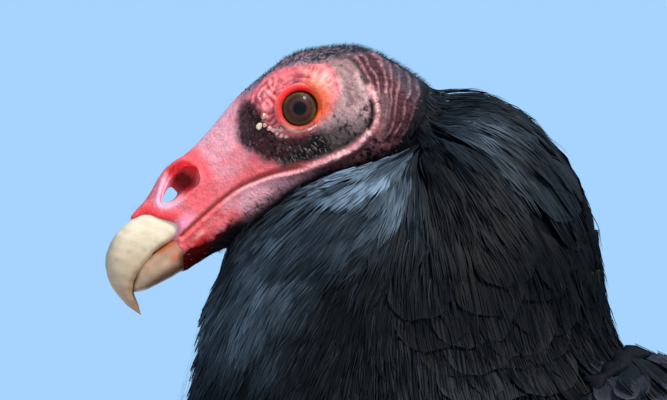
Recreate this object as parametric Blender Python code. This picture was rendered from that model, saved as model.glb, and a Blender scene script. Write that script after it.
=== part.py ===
"""A turkey vulture standing hunched on level ground, life size, in metres, +Z up, facing -Y.

The bird is drawn in its mid plane first. Every fleshy part is a loft through a few named
cross-sections, each spanned between a low point (throat, breast or belly side) and a high point
(crown, nape or back side). The head is drawn in a frame of its own, whose first axis runs forward
from the eyes along the bill and whose second axis runs up through the crown, and is then pitched,
turned and set on the neck. Lengths in the tables are millimetres, and MM turns them into metres.
"""

import math

import bmesh
import bpy
from mathutils import Matrix, Vector

MM = 0.001
GAP = 0.3 * MM  # clearance between neighbouring solids

# Driving dimensions.
EYE_HEIGHT = 368.0  # mm above the ground
HEAD_PITCH = math.radians(40)  # the bill points this far below level
HEAD_TURN = math.radians(6)  # the head turns this far towards the bird's left
EYE_RADIUS = 8.5
EYE_CENTRE = (10.6, 1.2, 0.3)  # the left eyeball's, in the head frame
LID_OPENING = 5.2  # radius of the round opening between the lids
FOOT_SIDE = 46.0  # from the mid plane to a foot's centre
FOOT_BACK = 128.0  # from the eyes back to the feet's centres
TAIL_FEATHERS = 12
NOSTRIL = (38.2, 6.0)  # centre of the nostril, in the head frame

# Cross-sections: low point, high point, half width, share of the height where it is widest,
# power (2 is an ellipse, more is boxier) and, on the neck, how far its sides sag behind it.
HEAD = [
    ((60, -10.8), (60, 6.8), 4.9, 0.50, 2.2),
    ((53, -12.6), (54, 7.5), 5.7, 0.48, 2.2),
    ((48, -13.6), (48, 8.5), 6.1, 0.48, 2.2),
    ((42, -14.6), (42, 10.4), 6.8, 0.48, 2.2),
    ((36, -16.6), (36, 11.3), 7.7, 0.46, 2.2),
    ((29, -19.0), (28, 11.0), 9.6, 0.46, 2.2),
    ((20, -21.5), (19, 12.4), 12.6, 0.50, 2.2),
    ((12, -23.5), (10, 13.8), 15.8, 0.58, 2.3),
    ((5, -25.0), (1, 13.3), 17.9, 0.62, 2.4),
    ((0, -26.5), (-8, 12.7), 18.9, 0.60, 2.4),
    ((-3, -28.0), (-16, 8.6), 19.2, 0.56, 2.3),
    ((-5, -31.0), (-24, 1.6), 19.0, 0.52, 2.2),
    ((-6, -35.0), (-30, -14), 18.4, 0.50, 2.0),
    ((-4, -43.0), (-33, -34), 17.0, 0.50, 2.0),
]
UPPER_BILL = [
    ((42, -4.6), (47, 6.8), 5.2, 0.35, 2.3),
    ((48, -4.9), (54, 7.3), 5.6, 0.35, 2.3),
    ((54, -4.3), (60.3, 7.1), 5.6, 0.34, 2.3),
    ((60, -5.2), (66.2, 4.3), 5.1, 0.36, 2.3),
    ((63.7, -6.4), (69.3, 0.4), 4.4, 0.40, 2.2),
    ((65.8, -8.0), (70.9, -4.6), 3.3, 0.45, 2.1),
    ((66.9, -10.2), (70.9, -8.9), 2.2, 0.50, 2.0),
    ((67.8, -12.4), (70.1, -12.2), 1.1, 0.50, 2.0),
    ((68.8, -14.4), (69.3, -14.3), 0.35, 0.50, 2.0),
]
LOWER_BILL = [
    ((44, -13.9), (42, -5.4), 4.7, 0.50, 2.3),
    ((50, -13.2), (48, -5.0), 5.0, 0.50, 2.3),
    ((57, -11.9), (55, -4.4), 4.9, 0.50, 2.3),
    ((62.3, -10.7), (61, -5.0), 4.0, 0.50, 2.2),
    ((65.2, -9.4), (64.6, -6.6), 2.7, 0.50, 2.1),
    ((66.3, -8.6), (66.1, -7.9), 1.0, 0.50, 2.0),
]
NECK_AND_TRUNK = [
    ((-15, -31), (31, 4), 19, 0.50, 2.0, 16),
    ((-19, -37), (40, 6), 28, 0.50, 2.0, 15),
    ((-22, -44), (53, 4.5), 34, 0.50, 2.0, 12),
    ((-25, -51), (67, -7.5), 39, 0.50, 2.0, 8),
    ((-28, -60), (78, -30), 43, 0.50, 2.1, 4),
    ((-32, -75), (85, -62), 48, 0.50, 2.1, 0),
    ((-38, -100), (104, -80), 55, 0.50, 2.1, 0),
    ((-38, -132), (132, -90), 63, 0.50, 2.1, 0),
    ((-16, -180), (166, -109), 68, 0.50, 2.2, 0),
    ((35, -220), (200, -136), 67, 0.52, 2.2, 0),
    ((95, -243), (233, -163), 60, 0.54, 2.2, 0),
    ((160, -252), (262, -193), 48, 0.54, 2.2, 0),
    ((215, -252), (286, -213), 35, 0.54, 2.1, 0),
    ((262, -250), (305, -228), 22, 0.52, 2.0, 0),
    ((288, -250), (310, -240), 12, 0.50, 2.0, 0),
]
NECK_BASE = ((-60, -86), (110, -66))  # where the feathered neck meets the trunk

# The wing's length in stations from the shoulder to the tip: top edge, bottom edge (across, back,
# up), how far its face bulges, and its thickness.
WING = [
    ((44, 82, -75), (52, 62, -98), 5, 7),
    ((34, 97, -66), (62, 40, -140), 27, 18),
    ((24, 125, -78), (70, 46, -184), 34, 24),
    ((15, 165, -103), (74, 92, -224), 38, 25),
    ((9, 215, -139), (72, 160, -246), 35, 23),
    ((6, 270, -178), (66, 228, -258), 27, 18),
    ((5, 335, -215), (58, 300, -270), 17, 12),
    ((5, 405, -248), (49, 375, -286), 9, 8),
    ((7, 470, -278), (40, 452, -301), 4, 6),
    ((13, 522, -302), (28, 516, -312), 1, 3),
    ((18, 534, -309), (23, 533, -313), 0.3, 1.5),
]
# Lines in the mid plane that part the wing into its coverts, secondaries and primaries.
COVERTS_END = [(262, -110), (222, -156), (176, -204), (132, -240), (95, -280)]
SECONDARIES_END = [(410, -150), (398, -222), (370, -260), (300, -262), (200, -240), (120, -210)]

TAIL_ROOT = (262.0, -232.0)
TAIL_LENGTH = 268.0
TAIL_SLOPE = math.radians(19)
TAIL_HALF_WIDTHS = (17.0, 34.0, 47.0)  # at the root, half way and the tip
TAIL_THICKNESS = (15.0, 4.0)  # at the root and the tip
TAIL_ARCH = 7.0  # the middle feathers lie this much above the outer ones

# Toes: name, heading from straight ahead (inwards is positive), length without the claw.
TOES = [
    ("inner", math.radians(24), 44.0),
    ("middle", math.radians(-3), 62.0),
    ("outer", math.radians(-30), 50.0),
    ("hind", math.radians(158), 25.0),
]
TOE_RADIUS = 5.2
CLAW_LENGTH = 13.0
HOCK = (40.0, 152.0, 76.0)  # across, back, above the ground
THIGH_TOP = (36.0, 108.0, 150.0)


# ---------------------------------------------------------------- helpers


def clear_scene():
    for obj in list(bpy.data.objects):
        bpy.data.objects.remove(obj)


def flat_values(key):
    """A cross-section or station as one list of numbers."""
    values = []
    for item in key:
        values.extend(item if isinstance(item, tuple) else (item,))
    return values


def spline(rows, steps):
    """Rows of numbers joined by a Catmull-Rom curve, with `steps` rows for each interval."""
    rows = [flat_values(row) for row in rows]
    out = []
    for i in range(len(rows) - 1):
        before, start = rows[max(i - 1, 0)], rows[i]
        end, after = rows[i + 1], rows[min(i + 2, len(rows) - 1)]
        for k in range(steps):
            t = k / steps
            out.append(
                [
                    b
                    + 0.5 * t * (c - a)
                    + t * t * (a - 2.5 * b + 2 * c - 0.5 * d)
                    + t**3 * (1.5 * (b - c) + 0.5 * (d - a))
                    for a, b, c, d in zip(before, start, end, after)
                ]
            )
    out.append(list(rows[-1]))
    return out


def signed_power(value, power):
    return math.copysign(abs(value) ** power, value)


def section_ring(values, count):
    """The points (across, first axis, second axis) of one cross-section, in metres."""
    low, high = Vector(values[0:2]), Vector(values[2:4])
    half, widest, power = values[4:7]
    sag = values[7] if len(values) > 7 else 0.0
    middle = low.lerp(high, widest)
    behind = Vector((high.y - low.y, low.x - high.x)).normalized()
    ring = []
    for i in range(count):
        angle = 2 * math.pi * i / count + math.pi / 2
        across = half * signed_power(math.cos(angle), 2 / power)
        rise = signed_power(math.sin(angle), 2 / power)
        reach = high - middle if rise > 0 else middle - low
        share = (1 + math.sin(angle)) / 2
        point = middle + reach * rise + behind * sag * abs(math.cos(angle)) * share**2
        ring.append(Vector((across, point.x, point.y)) * MM)
    return ring


def mesh_object(name, vertices, faces):
    mesh = bpy.data.meshes.new(name)
    mesh.from_pydata([tuple(v) for v in vertices], [], faces)
    bm = bmesh.new()
    bm.from_mesh(mesh)
    bmesh.ops.recalc_face_normals(bm, faces=bm.faces)
    bmesh.ops.triangulate(bm, faces=bm.faces)
    bm.to_mesh(mesh)
    bm.free()
    mesh.shade_smooth()
    obj = bpy.data.objects.new(name, mesh)
    bpy.context.scene.collection.objects.link(obj)
    return obj


def loft(name, rings):
    """A closed solid through rings of equal count, with flat ends."""
    count = len(rings[0])
    vertices = [point for ring in rings for point in ring]
    faces = []
    for r in range(len(rings) - 1):
        for i in range(count):
            j = (i + 1) % count
            faces.append((r * count + i, r * count + j, (r + 1) * count + j, (r + 1) * count + i))
    faces.append(tuple(range(count)))
    faces.append(tuple((len(rings) - 1) * count + i for i in range(count)))
    return mesh_object(name, vertices, faces)


def sectioned(name, sections, steps, count):
    return loft(name, [section_ring(values, count) for values in spline(sections, steps)])


def prism(name, outline, half_width):
    """An outline in the mid plane, in millimetres, pushed out to both sides."""
    vertices = [Vector((side * half_width, a, b)) * MM for side in (-1, 1) for a, b in outline]
    count = len(outline)
    faces = [tuple(range(count)), tuple(range(count, 2 * count))]
    for i in range(count):
        j = (i + 1) % count
        faces.append((i, j, count + j, count + i))
    return mesh_object(name, vertices, faces)


def ball(name, centre, radius, segments, rings):
    bpy.ops.mesh.primitive_uv_sphere_add(segments=segments, ring_count=rings, radius=radius * MM)
    obj = bpy.context.object
    obj.name = name
    obj.data.transform(Matrix.Translation(Vector(centre) * MM))
    obj.data.shade_smooth()
    return obj


def grown(obj, by=GAP):
    """A cutter: a copy whose faces all stand out by the same distance."""
    copy = obj.copy()
    copy.data = obj.data.copy()
    copy.name = obj.name + "_cutter"
    bpy.context.scene.collection.objects.link(copy)
    bm = bmesh.new()
    bm.from_mesh(copy.data)
    bm.normal_update()
    moves = [v.normal * by * min(v.calc_shell_factor(), 1.5) for v in bm.verts]
    for vertex, move in zip(bm.verts, moves):
        vertex.co += move
    bm.to_mesh(copy.data)
    bm.free()
    return copy


def combine(obj, other, operation):
    """Applies one Boolean to obj. A cutter that is left is removed by the caller."""
    modifier = obj.modifiers.new(operation.lower(), "BOOLEAN")
    modifier.operation = operation
    modifier.solver = "EXACT"
    modifier.object = other
    graph = bpy.context.evaluated_depsgraph_get()
    mesh = bpy.data.meshes.new_from_object(obj.evaluated_get(graph))
    obj.modifiers.remove(modifier)
    obj.data = mesh
    return obj


def cut(obj, *others):
    """Takes each other solid and its clearance out of obj."""
    for other in others:
        cutter = grown(other)
        combine(obj, cutter, "DIFFERENCE")
        remove(cutter)
    return obj


def keep(obj, zone):
    return combine(obj, zone, "INTERSECT")


def copy_of(obj, name):
    copy = obj.copy()
    copy.data = obj.data.copy()
    copy.name = name
    bpy.context.scene.collection.objects.link(copy)
    return copy


def remove(*objects):
    for obj in objects:
        bpy.data.objects.remove(obj)


def mirrored(obj, name):
    """The same solid on the bird's right side."""
    copy = copy_of(obj, name)
    place([copy], Matrix.Scale(-1, 4, Vector((1, 0, 0))))
    return copy


def place(objects, matrix):
    for obj in objects:
        obj.data.transform(matrix)
        if matrix.determinant() < 0:
            obj.data.flip_normals()


# ---------------------------------------------------------------- materials


def finish(name, colour, roughness, *objects):
    material = bpy.data.materials.new(name)
    material.use_nodes = True
    shader = material.node_tree.nodes["Principled BSDF"]
    shader.inputs["Base Color"].default_value = (*colour, 1)
    shader.inputs["Roughness"].default_value = roughness
    shader.inputs["Metallic"].default_value = 0
    for obj in objects:
        obj.data.materials.clear()
        obj.data.materials.append(material)


# ---------------------------------------------------------------- head


def head_matrix():
    """From the head frame (across, forward, up) to the bird's frame."""
    pitch, turn = HEAD_PITCH, HEAD_TURN
    forward = Vector((0, -math.cos(pitch), -math.sin(pitch)))
    up = Vector((0, -math.sin(pitch), math.cos(pitch)))
    across = Vector((1, 0, 0))
    axes = Matrix((across, forward, up)).transposed().to_4x4()
    return Matrix.Rotation(turn, 4, "Z") @ axes


def horn_zone():
    """Everything ahead of the line where skin gives way to horn."""
    edge = [(54.4, 9.5), (53.6, 6.9), (50.4, 5.7), (48.6, 3.4), (46.0, 0.2), (45.4, -3.0)]
    edge += [(46.8, -5.3), (48.4, -7.0), (50.5, -9.3), (55.0, -11.2), (57.0, -13.5)]
    front = [(58, -20), (80, -20), (80, 12)]
    return prism("horn_zone", [row[:] for row in spline(edge, 2)] + front, 12)


def jaw_zone():
    """Everything below the gape and ahead of the jaw's corner."""
    gape = [(62, -4.1), (54.8, -4.1), (46.8, -5.3), (33.4, -5.9), (21.4, -7.0), (12.8, -11.3)]
    rear = [(7, -20), (7, -50), (62, -50)]
    return prism("jaw_zone", spline(gape, 2) + rear, 30)


def nostril_passage():
    """A slot right through the cere, wide at each side and narrower between them."""
    across = (-10.0, -5.5, -2.0, 2.0, 5.5, 10.0)
    half_lengths = (8.6, 6.6, 4.9, 4.9, 6.6, 8.6)
    half_heights = (4.6, 3.1, 2.2, 2.2, 3.1, 4.6)
    tilt = math.radians(8)
    points = 12
    rings = []
    for x, length, height in zip(across, half_lengths, half_heights):
        ring = []
        for i in range(points):
            angle = 2 * math.pi * i / points
            taper = 0.72 - 0.28 * math.cos(angle)
            a, b = length * math.cos(angle), height * taper * math.sin(angle)
            forward = NOSTRIL[0] + a * math.cos(tilt) + b * math.sin(tilt)
            up = NOSTRIL[1] - a * math.sin(tilt) + b * math.cos(tilt)
            ring.append(Vector((x, forward, up)) * MM)
        rings.append(ring)
    return loft("nostril_passage", rings)


def lid_opening(side):
    """A cone that opens the skin over an eyeball."""
    bpy.ops.mesh.primitive_cone_add(
        vertices=18, radius1=LID_OPENING * MM, radius2=(LID_OPENING + 2.4) * MM, depth=6 * MM
    )
    cone = bpy.context.object
    cone.name = "lid_opening"
    turn = Matrix.Rotation(side * math.pi / 2, 4, "Y")
    cone.data.transform(Matrix.Translation(Vector((side * 19.4, *EYE_CENTRE[1:])) * MM) @ turn)
    return cone


def build_head():
    head = sectioned("head", HEAD, 2, 18)
    upper_bill = sectioned("upper_bill", UPPER_BILL, 2, 12)
    lower_bill = sectioned("lower_bill", LOWER_BILL, 2, 10)
    eyes = [
        ball(f"eye_{name}", (side * EYE_CENTRE[0], *EYE_CENTRE[1:]), EYE_RADIUS, 14, 7)
        for name, side in (("left", 1), ("right", -1))
    ]
    horn, jaw = horn_zone(), jaw_zone()
    lower_jaw = keep(copy_of(head, "lower_jaw"), jaw)
    cut(lower_jaw, horn)
    cut(head, horn, jaw, *eyes)
    passage = nostril_passage()
    combine(head, passage, "DIFFERENCE")
    for side in (1, -1):
        cone = lid_opening(side)
        combine(head, cone, "DIFFERENCE")
        remove(cone)
    keep(upper_bill, horn)
    keep(lower_bill, horn)
    cut(lower_bill, upper_bill)
    remove(horn, jaw, passage)
    whole = sectioned("head_whole", HEAD, 2, 18)
    parts = [head, lower_jaw, upper_bill, lower_bill, *eyes]
    place([*parts, whole], head_matrix())
    finish("bare_skin", (0.62, 0.16, 0.15), 0.5, head, lower_jaw)
    finish("horn", (0.82, 0.71, 0.55), 0.35, upper_bill, lower_bill)
    finish("eye", (0.06, 0.03, 0.02), 0.08, *eyes)
    return parts, whole


# ---------------------------------------------------------------- neck, trunk and tail


def neck_zone():
    """The half plane ahead of and above the neck's base."""
    front, back = NECK_BASE
    return prism("neck_zone", [front, back, (110, 60), (-60, 60)], 120)


def build_neck_and_trunk(head_whole):
    neck = sectioned("neck", NECK_AND_TRUNK, 2, 18)
    trunk = copy_of(neck, "trunk")
    zone = neck_zone()
    keep(neck, zone)
    cut(trunk, zone)
    cut(neck, head_whole)
    remove(zone)
    return neck, trunk


def tail_width(share):
    root, half_way, tip = TAIL_HALF_WIDTHS
    if share < 0.5:
        return root + (half_way - root) * math.sin(math.pi * share)
    return half_way + (tip - half_way) * math.sin(math.pi * (share - 0.5))


def build_tail():
    """A low roof of overlapping feathers whose rounded tips stand out at the end."""
    rows, columns = 3, TAIL_FEATHERS * 2
    along = Vector((0, math.cos(TAIL_SLOPE), -math.sin(TAIL_SLOPE)))
    upward = Vector((0, math.sin(TAIL_SLOPE), math.cos(TAIL_SLOPE)))
    root = Vector((0, *TAIL_ROOT))
    layers = []
    for layer in (1, -1):
        for r in range(rows + 1):
            share = r / rows
            for c in range(columns + 1):
                across = 2 * c / columns - 1
                scallop = abs(math.sin(math.pi * c / 2)) * 5 * max(0, share * 4 - 3)
                length = TAIL_LENGTH * share * (1 - 0.075 * across**2) - 5 + scallop
                thick = TAIL_THICKNESS[0] + (TAIL_THICKNESS[1] - TAIL_THICKNESS[0]) * share
                thick *= 1 - 0.7 * across**2
                lift = -TAIL_ARCH * across**2 + layer * thick / 2
                side = Vector((across * tail_width(share), 0, 0))
                layers.append((root + side + along * length + upward * lift) * MM)
    width, size = columns + 1, (rows + 1) * (columns + 1)
    faces = []
    for start in (0, size):
        for r in range(rows):
            for c in range(columns):
                i = start + r * width + c
                faces.append((i, i + 1, i + width + 1, i + width))
    rim = [c for c in range(width)]
    rim += [r * width + columns for r in range(1, rows + 1)]
    rim += [rows * width + c for c in range(columns - 1, -1, -1)]
    rim += [r * width for r in range(rows - 1, 0, -1)]
    for i, start in enumerate(rim):
        end = rim[(i + 1) % len(rim)]
        faces.append((start, end, size + end, size + start))
    return mesh_object("tail", layers, faces)


# ---------------------------------------------------------------- wings


def wing_point(values, share):
    """A point of the wing's chord and how far it stands in from its two edges."""
    top, bottom = Vector(values[0:3]), Vector(values[3:6])
    return top.lerp(bottom, share), math.sqrt(max(0.0, 4 * share * (1 - share)))


def wing_whole(name):
    """A plate that curves round the body from the shoulder to the tip of the primaries."""
    stations = spline(WING, 2)
    columns = 6
    outer, inner = [], []
    for s, values in enumerate(stations):
        bulge, thickness = values[6], values[7]
        ahead, behind = stations[min(s + 1, len(stations) - 1)], stations[max(s - 1, 0)]
        for c in range(columns + 1):
            share = c / columns
            point, inset = wing_point(values, share)
            run = wing_point(ahead, share)[0] - wing_point(behind, share)[0]
            chord = Vector(values[3:6]) - Vector(values[0:3])
            outward = chord.cross(run).normalized()
            if outward.x < 0:
                outward = -outward
            face = point + outward * bulge * inset**2
            outer.append(face * MM)
            inner.append((face - outward * max(1.2, thickness * inset)) * MM)
    width, size = columns + 1, len(outer)
    faces = []
    for start in (0, size):
        for r in range(len(stations) - 1):
            for c in range(columns):
                i = start + r * width + c
                faces.append((i, i + 1, i + width + 1, i + width))
    last = len(stations) - 1
    rim = [c for c in range(width)]
    rim += [r * width + columns for r in range(1, last + 1)]
    rim += [last * width + c for c in range(columns - 1, -1, -1)]
    rim += [r * width for r in range(last - 1, 0, -1)]
    for i, start in enumerate(rim):
        end = rim[(i + 1) % len(rim)]
        faces.append((start, end, size + end, size + start))
    return mesh_object(name, outer + inner, faces)


def build_wing():
    """The left wing, whole, and its three parts."""
    whole = wing_whole("wing_whole")
    front = prism("front_zone", spline(COVERTS_END, 2) + [(0, -280), (0, 0), (250, 0)], 120)
    rear = [(120, -150), (400, -100)]
    middle = prism("middle_zone", spline(SECONDARIES_END, 2) + rear, 120)
    coverts = keep(copy_of(whole, "wing_coverts_left"), front)
    secondaries = keep(copy_of(whole, "secondaries_left"), middle)
    cut(secondaries, front)
    primaries = cut(copy_of(whole, "primaries_left"), front, middle)
    remove(front, middle)
    return whole, [coverts, secondaries, primaries]


# ---------------------------------------------------------------- legs


def tube(name, path, radii, count, flatten=1.0):
    """A round solid along a path; flatten widens it across its run."""
    rings = []
    for i, point in enumerate(path):
        run = Vector(path[min(i + 1, len(path) - 1)]) - Vector(path[max(i - 1, 0)])
        run.normalize()
        side = run.cross(Vector((0, 0, 1)) if abs(run.z) < 0.8 else Vector((1, 0, 0))).normalized()
        rise = side.cross(run)
        ring = []
        for k in range(count):
            angle = 2 * math.pi * k / count
            offset = side * math.cos(angle) * flatten + rise * math.sin(angle)
            ring.append((Vector(point) + offset * radii[i]) * MM)
        rings.append(ring)
    return loft(name, rings)


def toe(heading, length):
    """One toe with a swelling at each joint, and its claw."""
    steps = 6
    aim = Vector((-math.sin(heading), -math.cos(heading), 0))
    foot = Vector((FOOT_SIDE, FOOT_BACK, 0))
    path, radii = [], []
    for i in range(steps + 1):
        share = i / steps
        radius = TOE_RADIUS * (1 - 0.3 * share) * (1 + 0.1 * math.cos(6 * math.pi * share))
        lift = 0.8 * radius + 3.0 * (1 - share) ** 3
        path.append(foot + aim * length * share + Vector((0, 0, lift)))
        radii.append(radius)
    solid = tube("toe", path, radii, 6)
    claw_path, claw_radii = [], []
    for i in range(6):
        share = i / 5
        drop = 4.6 * math.sin(0.62 * math.pi * share) - 4.4 * share
        tip = foot + aim * (length - 3 + CLAW_LENGTH * share)
        claw_path.append(tip + Vector((0, 0, 3.2 + drop - 1.7 * share)))
        claw_radii.append(2.7 * (1 - share) ** 0.8 + 0.35)
    claw = tube("claw", claw_path, claw_radii, 5)
    return solid, claw


def below_ground():
    """The solid whose removal leaves small flats under a foot."""
    bpy.ops.mesh.primitive_cube_add(size=0.4, location=(0, 0, 0))
    ground = bpy.context.object
    ground.data.transform(Matrix.Translation((0, 0.1, -0.2)))
    return ground


def build_leg(trunk_whole, wing):
    """The left leg: feathered thigh, scaled shank, foot and four claws."""
    foot_top = Vector((FOOT_SIDE, FOOT_BACK, 0)) + Vector((0, 3, 9))
    hock = Vector(HOCK)
    shank_path = [foot_top.lerp(hock, share) for share in (0, 0.12, 0.3, 0.6, 0.85, 1.0)]
    shank = tube("shank_left", shank_path, (6.2, 5.4, 4.7, 4.8, 6.2, 6.8), 9)
    knee = Vector(THIGH_TOP)
    thigh_path = [hock.lerp(knee, share) for share in (0.0, 0.12, 0.3, 0.5, 0.75, 1.0)]
    thigh = tube("thigh_left", thigh_path, (9.0, 15.0, 21.0, 26.0, 30.0, 31.0), 14)
    cut(shank, thigh)
    cut(thigh, trunk_whole, wing)
    foot = ball("foot_left", (FOOT_SIDE, FOOT_BACK, 6.0), 9.0, 10, 6)
    claws = []
    for name, heading, length in TOES:
        solid, claw = toe(heading, length)
        combine(foot, solid, "UNION")
        remove(solid)
        claw.name = f"claw_{name}_left"
        claws.append(claw)
    ground = below_ground()
    combine(foot, ground, "DIFFERENCE")
    remove(ground)
    cut(foot, shank)
    for claw in claws:
        cut(claw, foot)
    finish("leg_skin", (0.63, 0.42, 0.36), 0.6, shank, foot)
    finish("claw_horn", (0.05, 0.04, 0.035), 0.4, *claws)
    return [thigh, shank, foot, *claws]


# ---------------------------------------------------------------- the whole bird


def to_right(parts):
    return [mirrored(part, part.name.replace("_left", "_right")) for part in parts]


def set_on_origin(parts):
    """Puts the middle of the bird's underside on the origin."""
    points = [vertex.co for part in parts for vertex in part.data.vertices]
    low = Vector([min(p[k] for p in points) for k in range(3)])
    high = Vector([max(p[k] for p in points) for k in range(3)])
    middle = (low + high) / 2
    place(parts, Matrix.Translation((-middle.x, -middle.y, -low.z)))


def main():
    clear_scene()
    lift = Matrix.Translation((0, 0, EYE_HEIGHT * MM))
    head_parts, head_whole = build_head()
    neck, trunk = build_neck_and_trunk(head_whole)
    tail = build_tail()
    wing, wing_parts = build_wing()
    place([*head_parts, head_whole, neck, trunk, tail, wing, *wing_parts], lift)

    trunk_whole = copy_of(trunk, "trunk_whole")
    right_wing = mirrored(wing, "wing_right_whole")
    cut(trunk, wing, right_wing)
    cut(tail, trunk_whole, wing, right_wing)
    leg_parts = build_leg(trunk_whole, wing)

    parts = [*head_parts, neck, trunk, tail]
    parts += wing_parts + to_right(wing_parts)
    parts += leg_parts + to_right(leg_parts)
    remove(head_whole, trunk_whole, wing, right_wing)
    feathered = [part for part in parts if not part.data.materials]
    finish("feathers", (0.03, 0.03, 0.035), 0.55, *feathered)
    set_on_origin(parts)


main()
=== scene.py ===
"""A turkey vulture: its skin, bill, eyes, feathers and feet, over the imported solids.

Three frames are used. The row frame is in metres. The side frame is in millimetres and gives a
point as (across, back, up) from the middle of the eyes. The head frame, also in millimetres, gives
(across, forward along the bill, up through the crown) from the same point.
"""

import math
from dataclasses import dataclass

import bmesh
import bpy
import numpy as np
from mathutils import Matrix, Vector
from mathutils.bvhtree import BVHTree


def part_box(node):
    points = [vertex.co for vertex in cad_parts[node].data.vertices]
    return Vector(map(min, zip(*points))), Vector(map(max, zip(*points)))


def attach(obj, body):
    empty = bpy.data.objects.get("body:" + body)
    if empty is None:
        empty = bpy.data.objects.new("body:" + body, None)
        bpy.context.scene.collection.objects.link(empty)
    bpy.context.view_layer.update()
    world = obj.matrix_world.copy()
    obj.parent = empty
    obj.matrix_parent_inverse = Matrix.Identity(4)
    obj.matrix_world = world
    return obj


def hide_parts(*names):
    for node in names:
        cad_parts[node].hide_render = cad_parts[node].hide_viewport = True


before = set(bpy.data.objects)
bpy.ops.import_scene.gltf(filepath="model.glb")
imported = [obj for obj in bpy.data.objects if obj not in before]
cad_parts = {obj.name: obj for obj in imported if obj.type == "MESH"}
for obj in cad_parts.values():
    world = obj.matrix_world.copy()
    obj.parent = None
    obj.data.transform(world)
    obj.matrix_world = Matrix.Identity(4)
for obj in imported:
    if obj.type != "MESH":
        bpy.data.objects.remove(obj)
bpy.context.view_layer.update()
MM = 0.001
HEAD_PITCH = math.radians(40)
EYE_AHEAD, EYE_UP = 1.2, 0.3  # an eyeball's centre in the head frame
PICTURE_WIDTH = 0.1801  # what the camera sees from side to side, at the bird
PICTURE_MIDDLE = (0, 8.8, -24.3)  # what the camera looks at, in the side frame
FLOOR_SIZE = 8
SIDES = {"left": 1, "right": -1}
rng = np.random.default_rng(11)


# ---------------------------------------------------------------- frames


def middle(node):
    low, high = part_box(node)
    return (np.array(low) + np.array(high)) / 2


def head_frame():
    """The head frame's axes as columns (across, forward, up), and its origin in the row frame."""
    left, right = middle("eye_left"), middle("eye_right")
    across = (left - right) / np.linalg.norm(left - right)
    level = np.cross(across, (0, 0, 1))
    forward = level * math.cos(HEAD_PITCH) - np.array((0, 0, math.sin(HEAD_PITCH)))
    up = level * math.sin(HEAD_PITCH) + np.array((0, 0, math.cos(HEAD_PITCH)))
    origin = (left + right) / 2 - forward * EYE_AHEAD * MM - up * EYE_UP * MM
    return np.column_stack((across, forward, up)), origin


HEAD_AXES, ORIGIN = head_frame()


def from_head(points):
    """Row-frame points from head-frame points."""
    return np.asarray(points) @ HEAD_AXES.T * MM + ORIGIN


def to_head(points):
    return (np.asarray(points) - ORIGIN) @ HEAD_AXES / MM


def from_side(points):
    return np.asarray(points) * MM + ORIGIN


def to_side(points):
    return (np.asarray(points) - ORIGIN) / MM


# ---------------------------------------------------------------- numbers


def unit(vectors):
    return vectors / np.maximum(np.linalg.norm(vectors, axis=-1, keepdims=True), 1e-12)


def smooth(low, high, value):
    share = np.clip((value - low) / (high - low), 0, 1)
    return share * share * (3 - 2 * share)


def spline(a, b, c, d, t):
    """A Catmull-Rom curve from b (t = 0) to c (t = 1); a and d are the points before and after."""
    bend = a - 2.5 * b + 2 * c - 0.5 * d
    return b + 0.5 * t * (c - a) + t * t * bend + t**3 * (1.5 * (b - c) + 0.5 * (d - a))


def curve_at(rows, places):
    """A smooth curve through rows of numbers, at places from 0 to len(rows) - 1."""
    rows = np.asarray(rows, float)
    places = np.clip(np.asarray(places, float), 0, len(rows) - 1)
    start = np.minimum(places.astype(int), len(rows) - 2)
    a, b = rows[np.maximum(start - 1, 0)], rows[start]
    c, d = rows[start + 1], rows[np.minimum(start + 2, len(rows) - 1)]
    return spline(a, b, c, d, (places - start)[:, None])


def fine(points, steps=5):
    """A smooth line through a few points."""
    return curve_at(points, np.linspace(0, len(points) - 1, (len(points) - 1) * steps + 1))


def from_line(points, line):
    """Distance of each 2-D point from a line of points, and how far along the line it lies."""
    best = np.full(len(points), 1e9)
    along = np.zeros(len(points))
    line = np.asarray(line, float)
    for i, (a, b) in enumerate(zip(line[:-1], line[1:])):
        run = b - a
        share = np.clip((points - a) @ run / (run @ run), 0, 1)
        gap = np.linalg.norm(points - a - share[:, None] * run, axis=1)
        nearer = gap < best
        best[nearer] = gap[nearer]
        along[nearer] = (i + share[nearer]) / (len(line) - 1)
    return best, along


def from_curve(points, line, steps=5):
    """The same for the smooth line through a few points."""
    return from_line(points, fine(line, steps))


def inside(points, outline, soft):
    """1 inside a 2-D outline, 0 outside it, turning over a band of width soft."""
    ring = fine(list(outline) + [outline[0]], 3)
    gap, _ = from_line(points, ring)
    odd = np.zeros(len(points), bool)
    for a, b in zip(ring[:-1], ring[1:]):
        spans = (a[1] > points[:, 1]) != (b[1] > points[:, 1])
        rise = b[1] - a[1] if b[1] != a[1] else 1e-9
        odd ^= spans & (points[:, 0] < a[0] + (points[:, 1] - a[1]) / rise * (b[0] - a[0]))
    return smooth(-soft, soft, np.where(odd, gap, -gap))


def bell(value, centre, width):
    """1 where the value is at the centre, falling to 0 beyond width on both sides."""
    return np.exp(-(((value - centre) / width) ** 2))


def bump_at(points, centre, radius):
    return bell(np.linalg.norm(points - np.asarray(centre, float), axis=1), 0, radius)


def lattice(points, seed):
    """Smooth random numbers from -1 to 1 in space, one unit from bump to bump.

    Each seed gives a pattern of its own; the large whole numbers only mix the bits.
    """
    cell = np.floor(points).astype(np.int64)
    share = points - cell
    share = share * share * (3 - 2 * share)
    total = np.zeros(len(points))
    for corner in np.ndindex(2, 2, 2):
        at = cell + corner
        mixed = at[:, 0] * 73856093 ^ at[:, 1] * 19349663 ^ at[:, 2] * 83492791 ^ seed * 2654435761
        mixed = (mixed ^ (mixed >> 13)) * 1274126177
        value = ((mixed ^ (mixed >> 16)) & 0xFFFF) / 32767.5 - 1
        weight = np.prod(np.where(corner, share, 1 - share), axis=1)
        total += value * weight
    return total


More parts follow.
